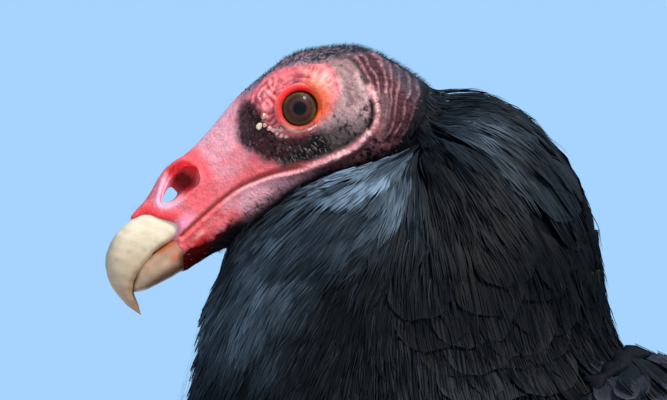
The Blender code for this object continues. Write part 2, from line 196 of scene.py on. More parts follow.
def colour(red, green, blue):
    """A linear colour from the usual 0 to 255 values."""
    values = np.array((red, green, blue)) / 255
    return np.where(values <= 0.04045, values / 12.92, ((values + 0.055) / 1.055) ** 2.4)


def wheel_angles(count):
    """Angles once round, in count equal steps."""
    return 2 * math.pi * np.arange(count) / count


def wheel_spokes(turn, across, rise):
    """Directions at angles between two directions (3-D vectors at right angles)."""
    return np.cos(turn)[None, :, None] * across + np.sin(turn)[None, :, None] * rise


# ---------------------------------------------------------------- meshes


def mesh_object(name, points, faces, tris=None):
    """An object from arrays of points, four-sided faces and three-sided faces."""
    groups = [group for group in (faces, tris) if group is not None and len(group)]
    groups = [np.asarray(group, np.int64) for group in groups]
    loops = np.concatenate([group.ravel() for group in groups])
    sizes = np.concatenate([np.full(len(group), group.shape[1]) for group in groups])
    mesh = bpy.data.meshes.new(name)
    mesh.vertices.add(len(points))
    mesh.vertices.foreach_set("co", np.asarray(points, np.float32).ravel())
    mesh.loops.add(len(loops))
    mesh.loops.foreach_set("vertex_index", loops.astype(np.int32))
    mesh.polygons.add(len(sizes))
    starts = np.concatenate(([0], np.cumsum(sizes)[:-1]))
    mesh.polygons.foreach_set("loop_start", starts.astype(np.int32))
    mesh.update(calc_edges=True)
    mesh.validate()
    mesh.shade_smooth()
    obj = bpy.data.objects.new(name, mesh)
    bpy.context.scene.collection.objects.link(obj)
    return obj


def grid_faces(rows, columns, wrap):
    """Faces of a grid of points whose last column may join its first."""
    across = columns if wrap else columns - 1
    r, c = np.meshgrid(np.arange(rows - 1), np.arange(across), indexing="ij")
    after = (c + 1) % columns
    faces = (r * columns + c, r * columns + after, (r + 1) * columns + after, (r + 1) * columns + c)
    return np.stack(faces, axis=-1).reshape(-1, 4)


def grid_normals(points):
    """Unit normals of a grid of points (rows, columns, 3) whose columns join round."""
    along = np.gradient(points, axis=0)
    across = np.roll(points, -1, axis=1) - np.roll(points, 1, axis=1)
    return unit(np.cross(along, across))


def outward_normals(grid):
    normals = grid_normals(grid)
    return normals * np.sign(np.sum(normals * (grid - grid.mean(axis=1, keepdims=True))))


def paint(obj, name, values):
    """Stores numbers for each vertex: one, or four as a colour."""
    kind = "FLOAT" if values.ndim == 1 else "FLOAT_COLOR"
    layer = obj.data.attributes.new(name, kind, "POINT")
    if values.ndim == 1:
        layer.data.foreach_set("value", values.astype(np.float32))
        return
    if values.shape[1] == 3:
        values = np.column_stack((values, np.ones(len(values))))
    layer.data.foreach_set("color", values.astype(np.float32).ravel())


def add_uv(obj, name, values):
    """A UV map from a pair of numbers for each vertex."""
    layer = obj.data.uv_layers.new(name=name)
    corners = np.empty(len(obj.data.loops), np.int32)
    obj.data.loops.foreach_get("vertex_index", corners)
    layer.data.foreach_set("uv", values[corners].astype(np.float32).ravel())


def points_of(obj):
    values = np.empty(len(obj.data.vertices) * 3, np.float32)
    obj.data.vertices.foreach_get("co", values)
    return values.reshape(-1, 3).astype(float)


def face_outwards(obj, merge=None):
    """Turns every face outwards, after joining points nearer than merge."""
    bm = bmesh.new()
    bm.from_mesh(obj.data)
    if merge:
        bmesh.ops.remove_doubles(bm, verts=bm.verts, dist=merge)
    bmesh.ops.recalc_face_normals(bm, faces=bm.faces)
    bm.to_mesh(obj.data)
    bm.free()


def closed_tube(name, grid, place, ends=None):
    """A closed mesh from rings of points (rows, columns, 3), with a middle point at each end.

    place turns the points into the row frame; ends are the two middle points, if they are given.
    """
    rows, columns = grid.shape[:2]
    if ends is None:
        ends = grid[[0, -1]].mean(axis=1)
    total = rows * columns
    start = total - columns
    tris = [(total, (i + 1) % columns, i) for i in range(columns)]
    tris += [(total + 1, start + i, start + (i + 1) % columns) for i in range(columns)]
    points = np.vstack((grid.reshape(-1, 3), ends))
    obj = mesh_object(name, place(points), grid_faces(rows, columns, True), tris)
    face_outwards(obj)
    return obj


def apply_modifiers(obj):
    """Replaces the mesh by what its modifiers make of it."""
    graph = bpy.context.evaluated_depsgraph_get()
    mesh = bpy.data.meshes.new_from_object(obj.evaluated_get(graph))
    obj.modifiers.clear()
    obj.data = mesh
    obj.data.shade_smooth()


def joined(name, objects):
    """One object from several, the first giving its materials' order."""
    bpy.ops.object.select_all(action="DESELECT")
    for obj in objects:
        obj.select_set(True)
    bpy.context.view_layer.objects.active = objects[0]
    bpy.ops.object.join()
    objects[0].name = name
    objects[0].data.name = name
    return objects[0]


def remeshed(name, parts, voxel, passes):
    """One closed mesh round several, smoothed."""
    obj = joined(name, parts)
    modifier = obj.modifiers.new("remesh", "REMESH")
    modifier.mode = "VOXEL"
    modifier.voxel_size = voxel
    modifier = obj.modifiers.new("smooth", "SMOOTH")
    modifier.factor = 0.5
    modifier.iterations = passes
    apply_modifiers(obj)
    return obj


def finish_piece(obj, material, slot, *nodes):
    """The piece gets its material, rides on the bird and stands for its nodes."""
    obj.data.materials.clear()
    obj.data.materials.append(material)
    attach(obj, "root")
    if nodes:
        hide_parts(*nodes)
    return obj


# ---------------------------------------------------------------- camera, light and floor


def aim(obj, place, target):
    obj.location = place
    direction = Vector(target) - Vector(place)
    obj.rotation_euler = direction.to_track_quat("-Z", "Y").to_euler()
    bpy.context.scene.collection.objects.link(obj)


def add_light(name, heading, distance, size, power, tint):
    light = bpy.data.lights.new(name, "AREA")
    light.shape = "DISK"
    light.size = size
    light.energy = power
    light.color = tint
    target = Vector(from_side((0, 30, -20)))
    aim(bpy.data.objects.new(name, light), target + Vector(heading).normalized() * distance, target)


def build_stage():
    scene = bpy.context.scene
    scene.view_settings.view_transform = "Standard"
    camera = bpy.data.objects.new("camera", bpy.data.cameras.new("camera"))
    camera.data.sensor_width = 36
    camera.data.lens = 600
    camera.data.clip_end = 50
    target = from_side(PICTURE_MIDDLE)
    distance = PICTURE_WIDTH * camera.data.lens / camera.data.sensor_width
    aim(camera, target + np.array((distance, 0, 0)), target)
    scene.camera = camera

    world = bpy.data.worlds.new("studio")
    world.use_nodes = True
    background = world.node_tree.nodes["Background"]
    background.inputs["Color"].default_value = (*colour(166, 212, 255), 1)
    background.inputs["Strength"].default_value = 1.0
    scene.world = world
    warm, cool = (1.0, 0.95, 0.88), (0.9, 0.95, 1.0)
    add_light("key", (0.45, 0.4, 0.8), distance=1.8, size=0.45, power=66, tint=warm)
    add_light("fill", (0.8, -0.6, 0.25), distance=2.2, size=1.4, power=8, tint=cool)

    reach = FLOOR_SIZE / 2
    corners = [(-reach, -reach, 0), (reach, -reach, 0), (reach, reach, 0), (-reach, reach, 0)]
    floor = mesh_object("floor", corners, [(0, 1, 2, 3)])
    material, shader = plain_material("pale_floor", colour(225, 225, 222), 0.8)
    noise = texture(material, "noise", Scale=3.0, Detail=3.0)
    paint_from(material, noise, "floor_tone", colour(218, 218, 215), colour(230, 230, 228), shader)
    floor.data.materials.append(material)


# ---------------------------------------------------------------- material helpers


def plain_material(name, tint, roughness, **settings):
    """A material with a Principled shader; settings name its sockets with _ for a space."""
    material = bpy.data.materials.new(name)
    material.use_nodes = True
    shader = material.node_tree.nodes["Principled BSDF"]
    shader.inputs["Base Color"].default_value = (*tint, 1)
    shader.inputs["Roughness"].default_value = roughness
    for key, value in settings.items():
        shader.inputs[key.replace("_", " ")].default_value = value
    return material, shader


def texture(material, kind, **settings):
    """A noise, wave or Voronoi texture read in the object's own metres."""
    tree = material.node_tree
    node = tree.nodes.new("ShaderNodeTex" + kind.capitalize())
    for key, value in settings.items():
        node.inputs[key].default_value = value
    place = tree.nodes.new("ShaderNodeTexCoord")
    tree.links.new(place.outputs["Object"], node.inputs["Vector"])
    return node


def link(material, node, output, target, socket):
    material.node_tree.links.new(node.outputs[output], target.inputs[socket])


def ramp(material, name, dark, light, low=0.3, high=0.7):
    """A colour ramp between two colours."""
    node = material.node_tree.nodes.new("ShaderNodeValToRGB")
    node.name = name
    node.color_ramp.elements[0].position = low
    node.color_ramp.elements[0].color = (*dark, 1)
    node.color_ramp.elements[1].position = high
    node.color_ramp.elements[1].color = (*light, 1)
    return node


def add_bump(material, shader, node, output, depth):
    """Raises the surface by a texture, depth in metres; bumps add up when called again."""
    tree = material.node_tree
    bump = tree.nodes.new("ShaderNodeBump")
    bump.inputs["Distance"].default_value = depth
    tree.links.new(node.outputs[output], bump.inputs["Height"])
    before = shader.inputs["Normal"].links
    if before:
        tree.links.new(before[0].from_socket, bump.inputs["Normal"])
    tree.links.new(bump.outputs["Normal"], shader.inputs["Normal"])


def paint_from(material, node, name, dark, light, shader):
    """Base colour: a ramp between two colours, led by a texture."""
    tone = ramp(material, name, dark, light)
    link(material, node, "Fac", tone, "Fac")
    link(material, tone, "Color", shader, "Base Color")


def attribute(material, name):
    """A node that reads numbers stored with the mesh."""
    node = material.node_tree.nodes.new("ShaderNodeAttribute")
    node.attribute_name = name
    return node


def tinted(material, shader, name, node, output, spread):
    """Base colour: a stored colour, made darker and lighter by a texture."""
    stored = attribute(material, name)
    shade = ramp(material, name + "_shade", (1 - spread,) * 3, (1 + spread,) * 3)
    link(material, node, output, shade, "Fac")
    mix = material.node_tree.nodes.new("ShaderNodeMix")
    mix.data_type = "RGBA"
    mix.blend_type = "MULTIPLY"
    mix.inputs["Factor"].default_value = 1
    link(material, stored, "Color", mix, "A")
    link(material, shade, "Color", mix, "B")
    link(material, mix, "Result", shader, "Base Color")


# ---------------------------------------------------------------- the head's shape

# Cross-sections in the head frame, as the solids have them: low point, high point, half width,
# share of the height where it is widest, and power. The last two lead the neck under the ruff.
HEAD = [
    (60, -10.8, 60, 6.8, 4.9, 0.50, 2.2),
    (53, -12.6, 54, 7.5, 5.7, 0.48, 2.2),
    (48, -13.6, 48, 8.5, 6.1, 0.48, 2.2),
    (42, -14.6, 42, 10.4, 6.8, 0.48, 2.2),
    (36, -16.6, 36, 11.3, 7.7, 0.46, 2.2),
    (29, -19.0, 28, 11.0, 9.6, 0.46, 2.2),
    (20, -21.5, 19, 12.4, 12.6, 0.50, 2.2),
    (12, -23.5, 10, 13.8, 15.8, 0.58, 2.3),
    (5, -25.0, 1, 13.3, 17.9, 0.62, 2.4),
    (0, -26.5, -8, 12.7, 18.9, 0.60, 2.4),
    (-3, -28.0, -16, 8.6, 19.2, 0.56, 2.3),
    (-5, -31.0, -24, 1.6, 19.0, 0.52, 2.2),
    (-6, -35.0, -30, -14.0, 18.4, 0.50, 2.0),
    (-4, -43.0, -33, -34.0, 17.0, 0.50, 2.0),
    (2, -54.0, -34, -50.0, 17.0, 0.50, 2.0),
    (0, -66.0, -34, -64.0, 18.0, 0.50, 2.0),
]
HEAD_RINGS, HEAD_COLUMNS = 320, 300

# Lines on the side of the head: (forward, up).
HORN_EDGE = [(54.5, 9), (53.5, 7.2), (50.1, 6.2), (47.7, 2.3), (45.3, -1.1), (45.1, -3.1)]
HORN_EDGE += [(46.8, -5.3), (48.4, -6.5), (50.8, -9.4), (52.3, -11.7), (53.5, -15)]
GAPE = [(46.6, -5.2), (39.1, -4.9), (32.4, -4.8), (25.7, -5.3), (18.3, -7.7), (12.5, -10.6)]
GAPE += [(7.9, -13.2)]
JAW_RIDGE = [(-18.6, -6.5), (-17.3, -10.1), (-15.8, -13.0), (-14.1, -14.8), (-11.4, -16.5), (-7.8, -17.2)]
JAW_RIDGE += [(-3.8, -17.2), (1.8, -15.7), (9.0, -13.1), (15.2, -10.5), (20.4, -7.7)]
EAR_SLIT = [(-15.9, -10.4), (-15.0, -12.2), (-12.9, -14.4), (-10.8, -15.6)]
ORBIT_GROOVE = [(-7.5, 9.0), (-11.6, 7.0), (-13.0, 3.8), (-11.8, 0), (-9.6, -3.2), (-6.6, -5.6)]
ORBIT_GROOVE += [(-2.1, -6.8)]
LORE_PATCH = [(10.1, 12.0), (8.3, 9.8), (8.4, 7.1), (9.3, 4.6), (9.3, 1.1), (8.6, -2.2), (4.3, -5.2)]
LORE_PATCH += [(1.4, -6.4), (-0.5, -9.4), (-0.8, -12.2), (1.6, -13.0), (6, -12.0), (11, -9.4)]
LORE_PATCH += [(15.4, -5.0), (17.0, -0.6), (18.7, 2.2), (17.9, 5.3), (15.7, 8.3), (12.9, 11.0)]
CHEEK = [(-1, -6.2), (-6.4, -5.8), (-10.4, -3.3), (-12.7, -0.2), (-13.4, 2.6), (-12.6, 5.6)]
CHEEK += [(-9.4, 8.6)]
CHEEK += [(-13.6, 6.6), (-17.6, 4.2), (-20.2, 1.0), (-19.6, -3.6), (-18.2, -7.6), (-16.4, -11.6)]
CHEEK += [(-13.0, -15.0), (-7.8, -16.4), (-3.8, -16.0), (2, -14.2), (9, -11.4), (13.8, -9.0)]
CHEEK += [(13, -7.6), (4, -8)]
CROWN_EDGE = [(16, 13.6), (8, 14.4), (2, 13.6), (-1.5, 12.6), (-4.4, 11.2), (-8.8, 8.4), (-13, 6.0)]
CROWN_EDGE += [(-18, 3.6), (-25, -1), (-30, -9), (-33, -22)]
NOSTRIL_RIM = [(32.2, 6.2), (33.6, 9.2), (37.0, 10.1), (41.0, 8.6), (45.2, 5.5), (43.4, 3.3)]
NOSTRIL_RIM += [(38.5, 2.7), (34.0, 3.2)]
NOSTRIL_HOLE = [(40.0, 5.4), (40.1, 6.3), (40.9, 7.0), (42.4, 6.7), (44.9, 5.4), (43.8, 4.1)]
NOSTRIL_HOLE += [(41.8, 3.6), (40.1, 4.2)]
EYE_MIDDLE = (0.0, 0.4)
LID_RADIUS, LID_SIDE = 5.15, 16.9  # the lids' opening, and how far out it is
EYE_BALL, EYE_DOME, EYE_FRONT = 7.6, 0.7, 18.6  # radius, height of the dome, reach sideways
EYE_RINGS, EYE_COLUMNS = 110, 120
# The folds of the nape, from the temple backwards: each is a line along a fold's crest.
NAPE_FOLDS = [
    [(-13.3, 6.3), (-16.2, 4.2), (-17.4, 0.8), (-16.9, -2.7)],
    [(-13.8, 3.0), (-15.0, 0.4), (-14.6, -2.8), (-13.1, -5.8), (-11.8, -8.4)],
    [(-17.6, 5.0), (-20.2, 3.0), (-20.4, -0.6), (-19.4, -4.2), (-18.4, -7.3)],
    [(-20.6, 2.4), (-22.1, -1.0), (-21.6, -4.5), (-20.3, -7.9), (-18.6, -10.6), (-16.7, -13.8)]
    + [(-13.4, -16.6)],
    [(-23.4, 1.2), (-24.8, -1.8), (-24.3, -5.2), (-22.6, -8.6), (-20.4, -11.4), (-17.4, -14.6)]
    + [(-13.6, -17.4)],
    [(-25.7, -3.1), (-25.9, -5.8), (-24.5, -8.9), (-22.4, -11.7), (-20.0, -14.0), (-17.2, -16.1)]
    + [(-13.6, -18.6)],
    [(-27.6, -6.2), (-27.4, -9.1), (-24.9, -11.8), (-21.8, -14.6), (-18.3, -17.2), (-14.5, -19.6)]
    + [(-10.6, -20.6)],
    [(-28.2, -9.9), (-27.3, -13.2), (-24.6, -15.7), (-21.2, -18.0), (-17.2, -20.4), (-12.6, -22.3)],
    [(-28.6, -13.6), (-27.7, -16.9), (-25.0, -18.8), (-21.8, -20.6), (-18.2, -22.4), (-14.6, -23.6)],
    [(-28.6, -17.4), (-26.7, -20.4), (-23.6, -22.4), (-20.0, -24.0), (-16.5, -24.9)],
]
FOLD_HEIGHTS = (0.45, 0.4, 0.8, 1, 1, 0.9, 1, 1, 0.9, 0.8)
DRAWN_SHIFT = math.tan(math.radians(6)) * np.array((math.cos(HEAD_PITCH), math.sin(HEAD_PITCH)))


def section_points(rows, count):
    """Rings of points (across, first axis, second axis) through cross-sections."""
    angles = wheel_angles(count) + math.pi / 2
    cosines, sines = np.cos(angles)[None], np.sin(angles)[None]
    low, high = rows[:, None, 0:2], rows[:, None, 2:4]
    half, widest, power = (rows[:, k : k + 1] for k in (4, 5, 6))
    middle_line = low + (high - low) * widest[..., None]
    across = half * np.sign(cosines) * np.abs(cosines) ** (2 / power)
    rise = np.sign(sines) * np.abs(sines) ** (2 / power)
    reach = np.where(rise[..., None] > 0, high - middle_line, middle_line - low)
    point = middle_line + reach * rise[..., None]
    return np.concatenate((across[..., None], point), axis=-1)


def evenly(rows, count):
    """A curve through rows, resampled so that its first four numbers move evenly."""
    dense = fine(rows, 40)
    steps = np.linalg.norm(np.diff(dense[:, :4], axis=0), axis=1)
    walked = np.concatenate(([0], np.cumsum(steps)))
    wanted = np.linspace(0, walked[-1], count)
    return np.column_stack([np.interp(wanted, walked, dense[:, k]) for k in range(dense.shape[1])])


def drawn(points):
    """Places on the side of the head as drawn square to the bird, though the head is turned.

    A point out on the cheek then stands a little further back than the same point in the mid plane.
    """
    return points[:, 1:] - np.abs(points[:, :1]) * DRAWN_SHIFT


def ahead_of_horn(side_points):
    """Distance in front of the line where skin gives way to horn; negative behind it."""
    line = fine(HORN_EDGE, 4)
    gap, _ = from_line(side_points, line)
    order = np.argsort(line[:, 1])
    edge = np.interp(side_points[:, 1], line[order, 1], line[order, 0])
    return np.where(side_points[:, 0] > edge, gap, -gap)


def nape_folds(points):
    """How much each point is on a fold's crest (0 to 1), and how strong the folds are there."""
    flat = drawn(points)
    ridge, strength = np.zeros(len(points)), np.zeros(len(points))
    near = np.where(flat[:, 0] < -8)[0]
    seam = np.column_stack((flat[near] / 3.2, np.sign(points[near, 0])))
    wander = 0.6 * np.column_stack((lattice(seam, 3), lattice(seam + 7, 4)))
    narrow = 0.55 + 0.16 * lattice(seam * 1.5, 5)
    for line, height in zip(NAPE_FOLDS, FOLD_HEIGHTS):
        gap, along = from_curve(flat[near] + wander, line, 3)
        ends = smooth(-0.02, 0.12, along) * (1 - smooth(0.86, 1.02, along))
        crest = ends * np.exp(-((gap / narrow) ** 2))
        crest = crest * (0.75 + 0.35 * lattice(seam * 2.2 + 3, 6))
        ridge[near] = np.maximum(ridge[near], crest)
        strength[near] = np.maximum(strength[near], height * ends * (1 - smooth(1.0, 2.8, gap)))
    return ridge, strength * smooth(2, 7, np.abs(points[:, 0]))


def around_eye(side_points):
    """Distance and angle (degrees, 0 straight ahead, 90 up) from the middle of the eye."""
    offset = side_points - EYE_MIDDLE
    return np.linalg.norm(offset, axis=1), np.degrees(np.arctan2(offset[:, 1], offset[:, 0]))


def quadrant(angle, centre, width):
    """1 at an angle round the eye, falling to 0 beyond width degrees from it."""
    return 1 - smooth(0.4, 1.0, np.abs((angle - centre + 180) % 360 - 180) / width)


def brow_wrinkle(points, far, angle):
    """Wrinkles that follow the orbit over the top and the back of the eye, from -1 to 1."""
    seam = np.column_stack((far / 2.6, angle / 20, np.sign(points[:, 0])))
    turn = (far + 1.5 * lattice(seam, 8)) / 1.5
    broken = smooth(-0.5, 0.4, lattice(seam * 1.6 + 4, 7))
    wave = np.cos(2 * math.pi * turn) * broken * quadrant(angle, 110, 105)
    return wave * smooth(6.2, 7.4, far) * (1 - smooth(12, 15, far))


def lid_wrinkle(points, far, angle):
    """Short wrinkles that run out from the front of the eye, from -1 to 1."""
    seam = np.column_stack((far / 2.2, angle / 17, np.sign(points[:, 0])))
    spokes = np.cos(np.radians(angle) * 24 + 4 * lattice(seam, 9))
    return spokes * quadrant(angle, 40, 75) * smooth(5.6, 6.8, far) * (1 - smooth(9, 12.5, far))


def fold_relief(points):
    ridge, strength = nape_folds(points)
    return [strength * (1.05 * ridge - 0.4 + 0.12 * lattice(points / 0.9, 27))]


def jaw_relief(points, flat):
    """The knobbly ridge round the jaw, the furrow beside it and the slit of the ear."""
    gap, along = from_curve(flat, JAW_RIDGE)
    ends = smooth(0, 0.2, along) * (1 - smooth(0.85, 1.0, along))
    wide = 0.85 + 0.15 * lattice(points / 4.0, 24)
    knobs = 1 + 0.25 * lattice(points / 1.0, 28)
    slit, _ = from_curve(flat, EAR_SLIT)
    return [
        ends * (0.85 * knobs * bell(gap, 0, wide) - 0.3 * bell(gap, 1.8, 0.7)),
        -0.9 * bell(slit, 0, 0.45),
    ]


def eye_relief(points, flat):
    """Swellings and wrinkles round the eye, and the opening that the lids fill."""
    far, angle = around_eye(flat)
    groove, _ = from_curve(flat, ORBIT_GROOVE)
    return [
        0.9 * bell(far, 8.3, 2.0) * quadrant(angle, 125, 110),
        0.7 * bell(far, 10.5, 2.0) * quadrant(angle, 60, 60),
        -0.55 * bell(groove, 0, 0.55),
        0.6 * brow_wrinkle(points, far, angle) + 0.3 * lid_wrinkle(points, far, angle),
        -3.2 * (1 - smooth(4.7, 6.1, far)) * (np.abs(points[:, 0]) > 8),
    ]


def mouth_relief(points, flat):
    """The lips along the gape, the nostril's rim, and the step down under the horn."""
    gap, along = from_curve(flat, GAPE)
    lips = 1 - smooth(0.85, 1.0, along)
    rim, _ = from_curve(flat, NOSTRIL_RIM + NOSTRIL_RIM[:1], 6)
    ahead = ahead_of_horn(flat)
    broad = lattice(points / 5.0, 21) * 0.22 + lattice(points / 1.9, 22) * 0.07
    small = lattice(points / 0.8, 23) * 0.05
    return [
        lips * (0.3 * bell(gap, 1.2, 0.7) - 0.85 * bell(gap, 0, 0.42)),
        0.55 * bell(rim, 0.5, 1.0) - 0.3 * bell(rim, 0, 0.4),
        0.25 * bell(ahead, -1.6, 1.3),
        -(1.4 * smooth(-0.1, 1.2, ahead) + 3.0 * smooth(0.9, 3.2, ahead)),
        (broad + small) * (1 - smooth(-3, 0, ahead)),
    ]


def head_relief(points):
    """How far the head's skin stands out of its plain form, in millimetres."""
    flat = drawn(points)
    parts = fold_relief(points) + jaw_relief(points, flat) + eye_relief(points, flat)
    return sum(parts + mouth_relief(points, flat))


def nostril_cutter():
    """The passage through the cere, flaring from the hole in the middle to each side's rim."""
    hole, rim = (fine(line + line[:1], 6)[:-1] for line in (NOSTRIL_HOLE, NOSTRIL_RIM))
    rings = []
    for x in np.linspace(-10, 10, 41):
        share = smooth(1.2, 6.4, abs(x)) ** 1.4
        ring = hole + (rim - hole) * share
        rings.append(np.column_stack((np.full(len(ring), x), ring)))
    return closed_tube("nostril", np.stack(rings), from_head)


def lid_ring(side):
    """The thick rim of one eye's lids, from the skin over the edge and down to the eyeball."""
    turns, steps = 96, 13
    angle = np.linspace(0, 2 * math.pi, turns, endpoint=False)
    beaded = 0.16 * np.sin(26 * angle + 2 * np.sin(3 * angle)) * smooth(0.4, -0.4, np.sin(angle + 0.6))
    uneven = 0.05 * np.sin(17 * angle + 3 * np.sin(2 * angle)) + beaded
    reach = 1.75 - 0.5 * np.maximum(0, np.cos(angle + 0.9))
    rings = []
    # share runs from the outer skin (0) over a rounded rim to the inside of the opening (1)
    for share in np.linspace(0, 1, steps):
        far = LID_RADIUS + reach - (reach + 0.6) * share + 0.1 * np.sin(9 * angle) * (1 - share)
        far += 0.2 * np.cos(2 * angle)
        rim = 1.25 * math.sin(math.pi * min(1, 0.15 + 0.8 * share)) ** 0.8
        height = LID_SIDE + rim - 1.6 * share**5
        height = height + uneven * (1 - share)
        height = height - 0.25 * np.sin(angle)
        middle_line = np.array(EYE_MIDDLE) + height[:, None] * DRAWN_SHIFT
        spokes = np.column_stack((far * np.cos(angle), far * np.sin(angle)))
        rings.append(np.column_stack((side * height, middle_line + spokes)))
    faces = grid_faces(steps, turns, True)
    return mesh_object("lids", from_head(np.concatenate(rings)), faces if side < 0 else faces[:, ::-1])


# Warts in front of the eye and beads below it: (forward, up, radius). The first two are warts.
BEADS = [
    (11.4, 3.7, 1.05), (8.7, 5.0, 0.8), (10.1, 3.0, 0.55), (9.6, 1.5, 0.7), (9.2, 0.5, 0.7),
    (8.3, 0.1, 0.6), (7.4, -0.7, 0.7), (9.0, -0.8, 0.6), (8.4, -2.0, 0.65), (7.6, -3.0, 0.6),
]
LID_BEADS = 12


def lid_bead(k):
    """Place and radius of the k-th bead of the row along the lower lid."""
    turn = math.radians(-22 - 6.4 * k)
    far = 6.2 + 0.12 * math.sin(7 * k)
    return far * math.cos(turn), 0.4 + far * math.sin(turn), 0.42 + 0.08 * math.sin(5 * k)


def ball():
    """Points and faces of a round ball."""
    bm = bmesh.new()
    bmesh.ops.create_icosphere(bm, subdivisions=3, radius=1)
    shape = np.array([v.co for v in bm.verts])
    faces = [[v.index for v in face.verts] for face in bm.faces]
    bm.free()
    return shape, faces


def beads(side):
    """Pale warts in front of the eye and a row of beads along the lower lid."""
    objects = []
    for forward, up, radius in BEADS + [lid_bead(k) for k in range(LID_BEADS)]:
        shape, faces = ball()
        shape *= 1 + 0.3 * lattice(shape * 1.6 + forward, 5)[:, None]
        depth = skin_side(forward, up)
        centre = (side * (depth + 0.02 * radius), *(np.array((forward, up)) + depth * DRAWN_SHIFT))
        stretch = np.array((0.6, 1.05 + 0.12 * math.sin(9 * up), 0.95 + 0.1 * math.cos(8 * forward)))
        points = np.asarray(centre) + shape * stretch * radius
        objects.append(mesh_object("bead", from_head(points), None, faces))
    return objects


def skin_side(forward, up):
    """Half width of the head's plain form at a point of its side view."""
    flat = drawn(HEAD_GRID.reshape(-1, 3))
    nearest = np.argsort(np.linalg.norm(flat - (forward, up), axis=1))[:6]
    return float(np.abs(HEAD_GRID.reshape(-1, 3)[nearest, 0]).max())


HEAD_GRID = section_points(evenly(HEAD, HEAD_RINGS), HEAD_COLUMNS)


def build_head_skin():
    flat = HEAD_GRID.reshape(-1, 3)
    points = flat + outward_normals(HEAD_GRID).reshape(-1, 3) * head_relief(flat)[:, None]
    ends = [HEAD_GRID[0].mean(axis=0), HEAD_GRID[-1].mean(axis=0)]
    head = closed_tube("head_skin", points.reshape(HEAD_GRID.shape), from_head, ends)
    cutter = nostril_cutter()
    modifier = head.modifiers.new("nostril", "BOOLEAN")
    modifier.operation = "DIFFERENCE"
    modifier.solver = "EXACT"
    modifier.object = cutter
    apply_modifiers(head)
    bpy.data.objects.remove(cutter)
    return head


# ---------------------------------------------------------------- the head's colours

PINK = colour(198, 88, 92)
PALE_PINK = colour(206, 136, 142)
RED = colour(178, 8, 10)
HOT_RED = colour(214, 34, 36)
MAROON = colour(54, 2, 4)
ORANGE = colour(222, 84, 30)
# the dark between the nape's folds: dark skin deepened by painted shade
GROOVE = colour(46, 26, 31)
FOLD_PINK = colour(130, 82, 87)
STUBBLE = colour(17, 16, 18)
CROWN = colour(102, 90, 102)
TEMPLE = colour(160, 122, 120)
CHEEK_GREY = colour(72, 60, 58)
CHEEK_PALE = colour(138, 118, 108)
GAPE_BROWN = colour(150, 52, 22)
WART = colour(196, 176, 142)
LID_BEAD = colour(206, 146, 134)


def height_at(forward, line):
    """How high a line on the side of the head runs at each place forward."""
    order = np.argsort(line[:, 0])
    return np.interp(forward, line[order, 0], line[order, 1])


def lay_over(base, tint, mask):
    return base + (tint - base) * np.clip(mask, 0, 1)[:, None]


def layered(tint, *layers):
    """Lays (colour, mask) pairs over a colour, one after another."""
    for over, mask in layers:
        tint = lay_over(tint, over, mask)
    return tint


def crown_share(points, flat):
    """Where the dark stubble of the crown grows, from 0 to 1."""
    forward, up = flat[:, 0], flat[:, 1]
    fleck, blotch = lattice(points / 1.1, 32), lattice(points / 3.2, 31)
    above = up - height_at(forward, fine(CROWN_EDGE))
    top = 1 - smooth(5, 10, np.abs(points[:, 0]) + fleck)
    top = top * smooth(-1, 1, above + 6) * smooth(14, 6, forward)
    ends = 1 - smooth(13, 19, forward + 1.5 * blotch)
    return np.maximum(smooth(-1.0, 1.2, above + 0.5 * fleck), top) * ends


class HeadSkin:
    """Points of the head frame, with the measures that the colours of the skin depend on."""

    def __init__(self, points):
        self.points = points
        self.flat = drawn(points)
        self.forward, self.up = self.flat[:, 0], self.flat[:, 1]
        self.far, self.angle = around_eye(self.flat)
        self.ridge, self.strength = nape_folds(points)
        self.blotch = lattice(points / 3.2, 31)
        self.fleck = lattice(points / 1.1, 32)
        self.speck = lattice(points / 0.55, 33)
        self.cheek = inside(self.flat, CHEEK, 1.4)


# Each of the next functions gives layers of colour, from the lowest up: (colour, mask) pairs.


def face_layers(skin):
    forward, up, blotch, fleck = skin.forward, skin.up, skin.blotch, skin.fleck
    pale = smooth(8, 16, forward) * (1 - smooth(25, 33, forward)) * smooth(-4, 5, up + 0.3 * forward - 6)
    return [
        (PALE_PINK, 1.2 * pale + 0.2 * blotch),
        (HOT_RED, 0.35 * smooth(-0.2, 0.9, blotch + 0.4 * fleck) * smooth(8, 20, forward)),
    ]


def eye_layers(skin):
    """The brow, the wrinkles round the eye with painted shade in their hollows and a painted highlight on
    their crests, and the glow behind the lids.
    """
    far, angle, fleck = skin.far, skin.angle, skin.fleck
    brow = np.exp(-((far / 12.0) ** 4))
    crest = brow_wrinkle(skin.points, far, angle)
    spoke = lid_wrinkle(skin.points, far, angle)
    rays = lattice(np.column_stack((angle / 2.6, far / 4.0, np.sign(skin.points[:, 0]))), 34)
    fan = quadrant(angle, 195, 80) * smooth(6.6, 7.8, far) * (1 - smooth(11, 13.5, far))
    return [
        (colour(200, 88, 92), brow * (0.75 + 0.25 * fleck)),
        # painted shade in the hollows of the brow's wrinkles, painted highlight on their crests
        (colour(146, 34, 42), -0.9 * crest),
        (colour(220, 142, 138), 0.9 * crest),
        (colour(220, 160, 140), 0.7 * fan * smooth(-0.2, 0.8, rays + 0.3 * skin.speck)),
        # the same painted shade and highlight for the wrinkles in front of the eye
        (colour(150, 40, 44), -0.8 * spoke),
        (colour(226, 138, 136), 0.8 * spoke),
        (ORANGE, 0.8 * quadrant(angle, 190, 75) * (1 - smooth(6.8, 9.4, far))),
        (colour(224, 122, 92), 0.5 * quadrant(angle, 178, 50) * bell(far, 8.6, 1.4)),
        (RED, 0.7 * quadrant(angle, 110, 60) * (1 - smooth(5.8, 7.2, far))),
        (colour(176, 40, 46), 0.6 * quadrant(angle, 30, 70) * (1 - smooth(6.6, 9.0, far))),
    ]


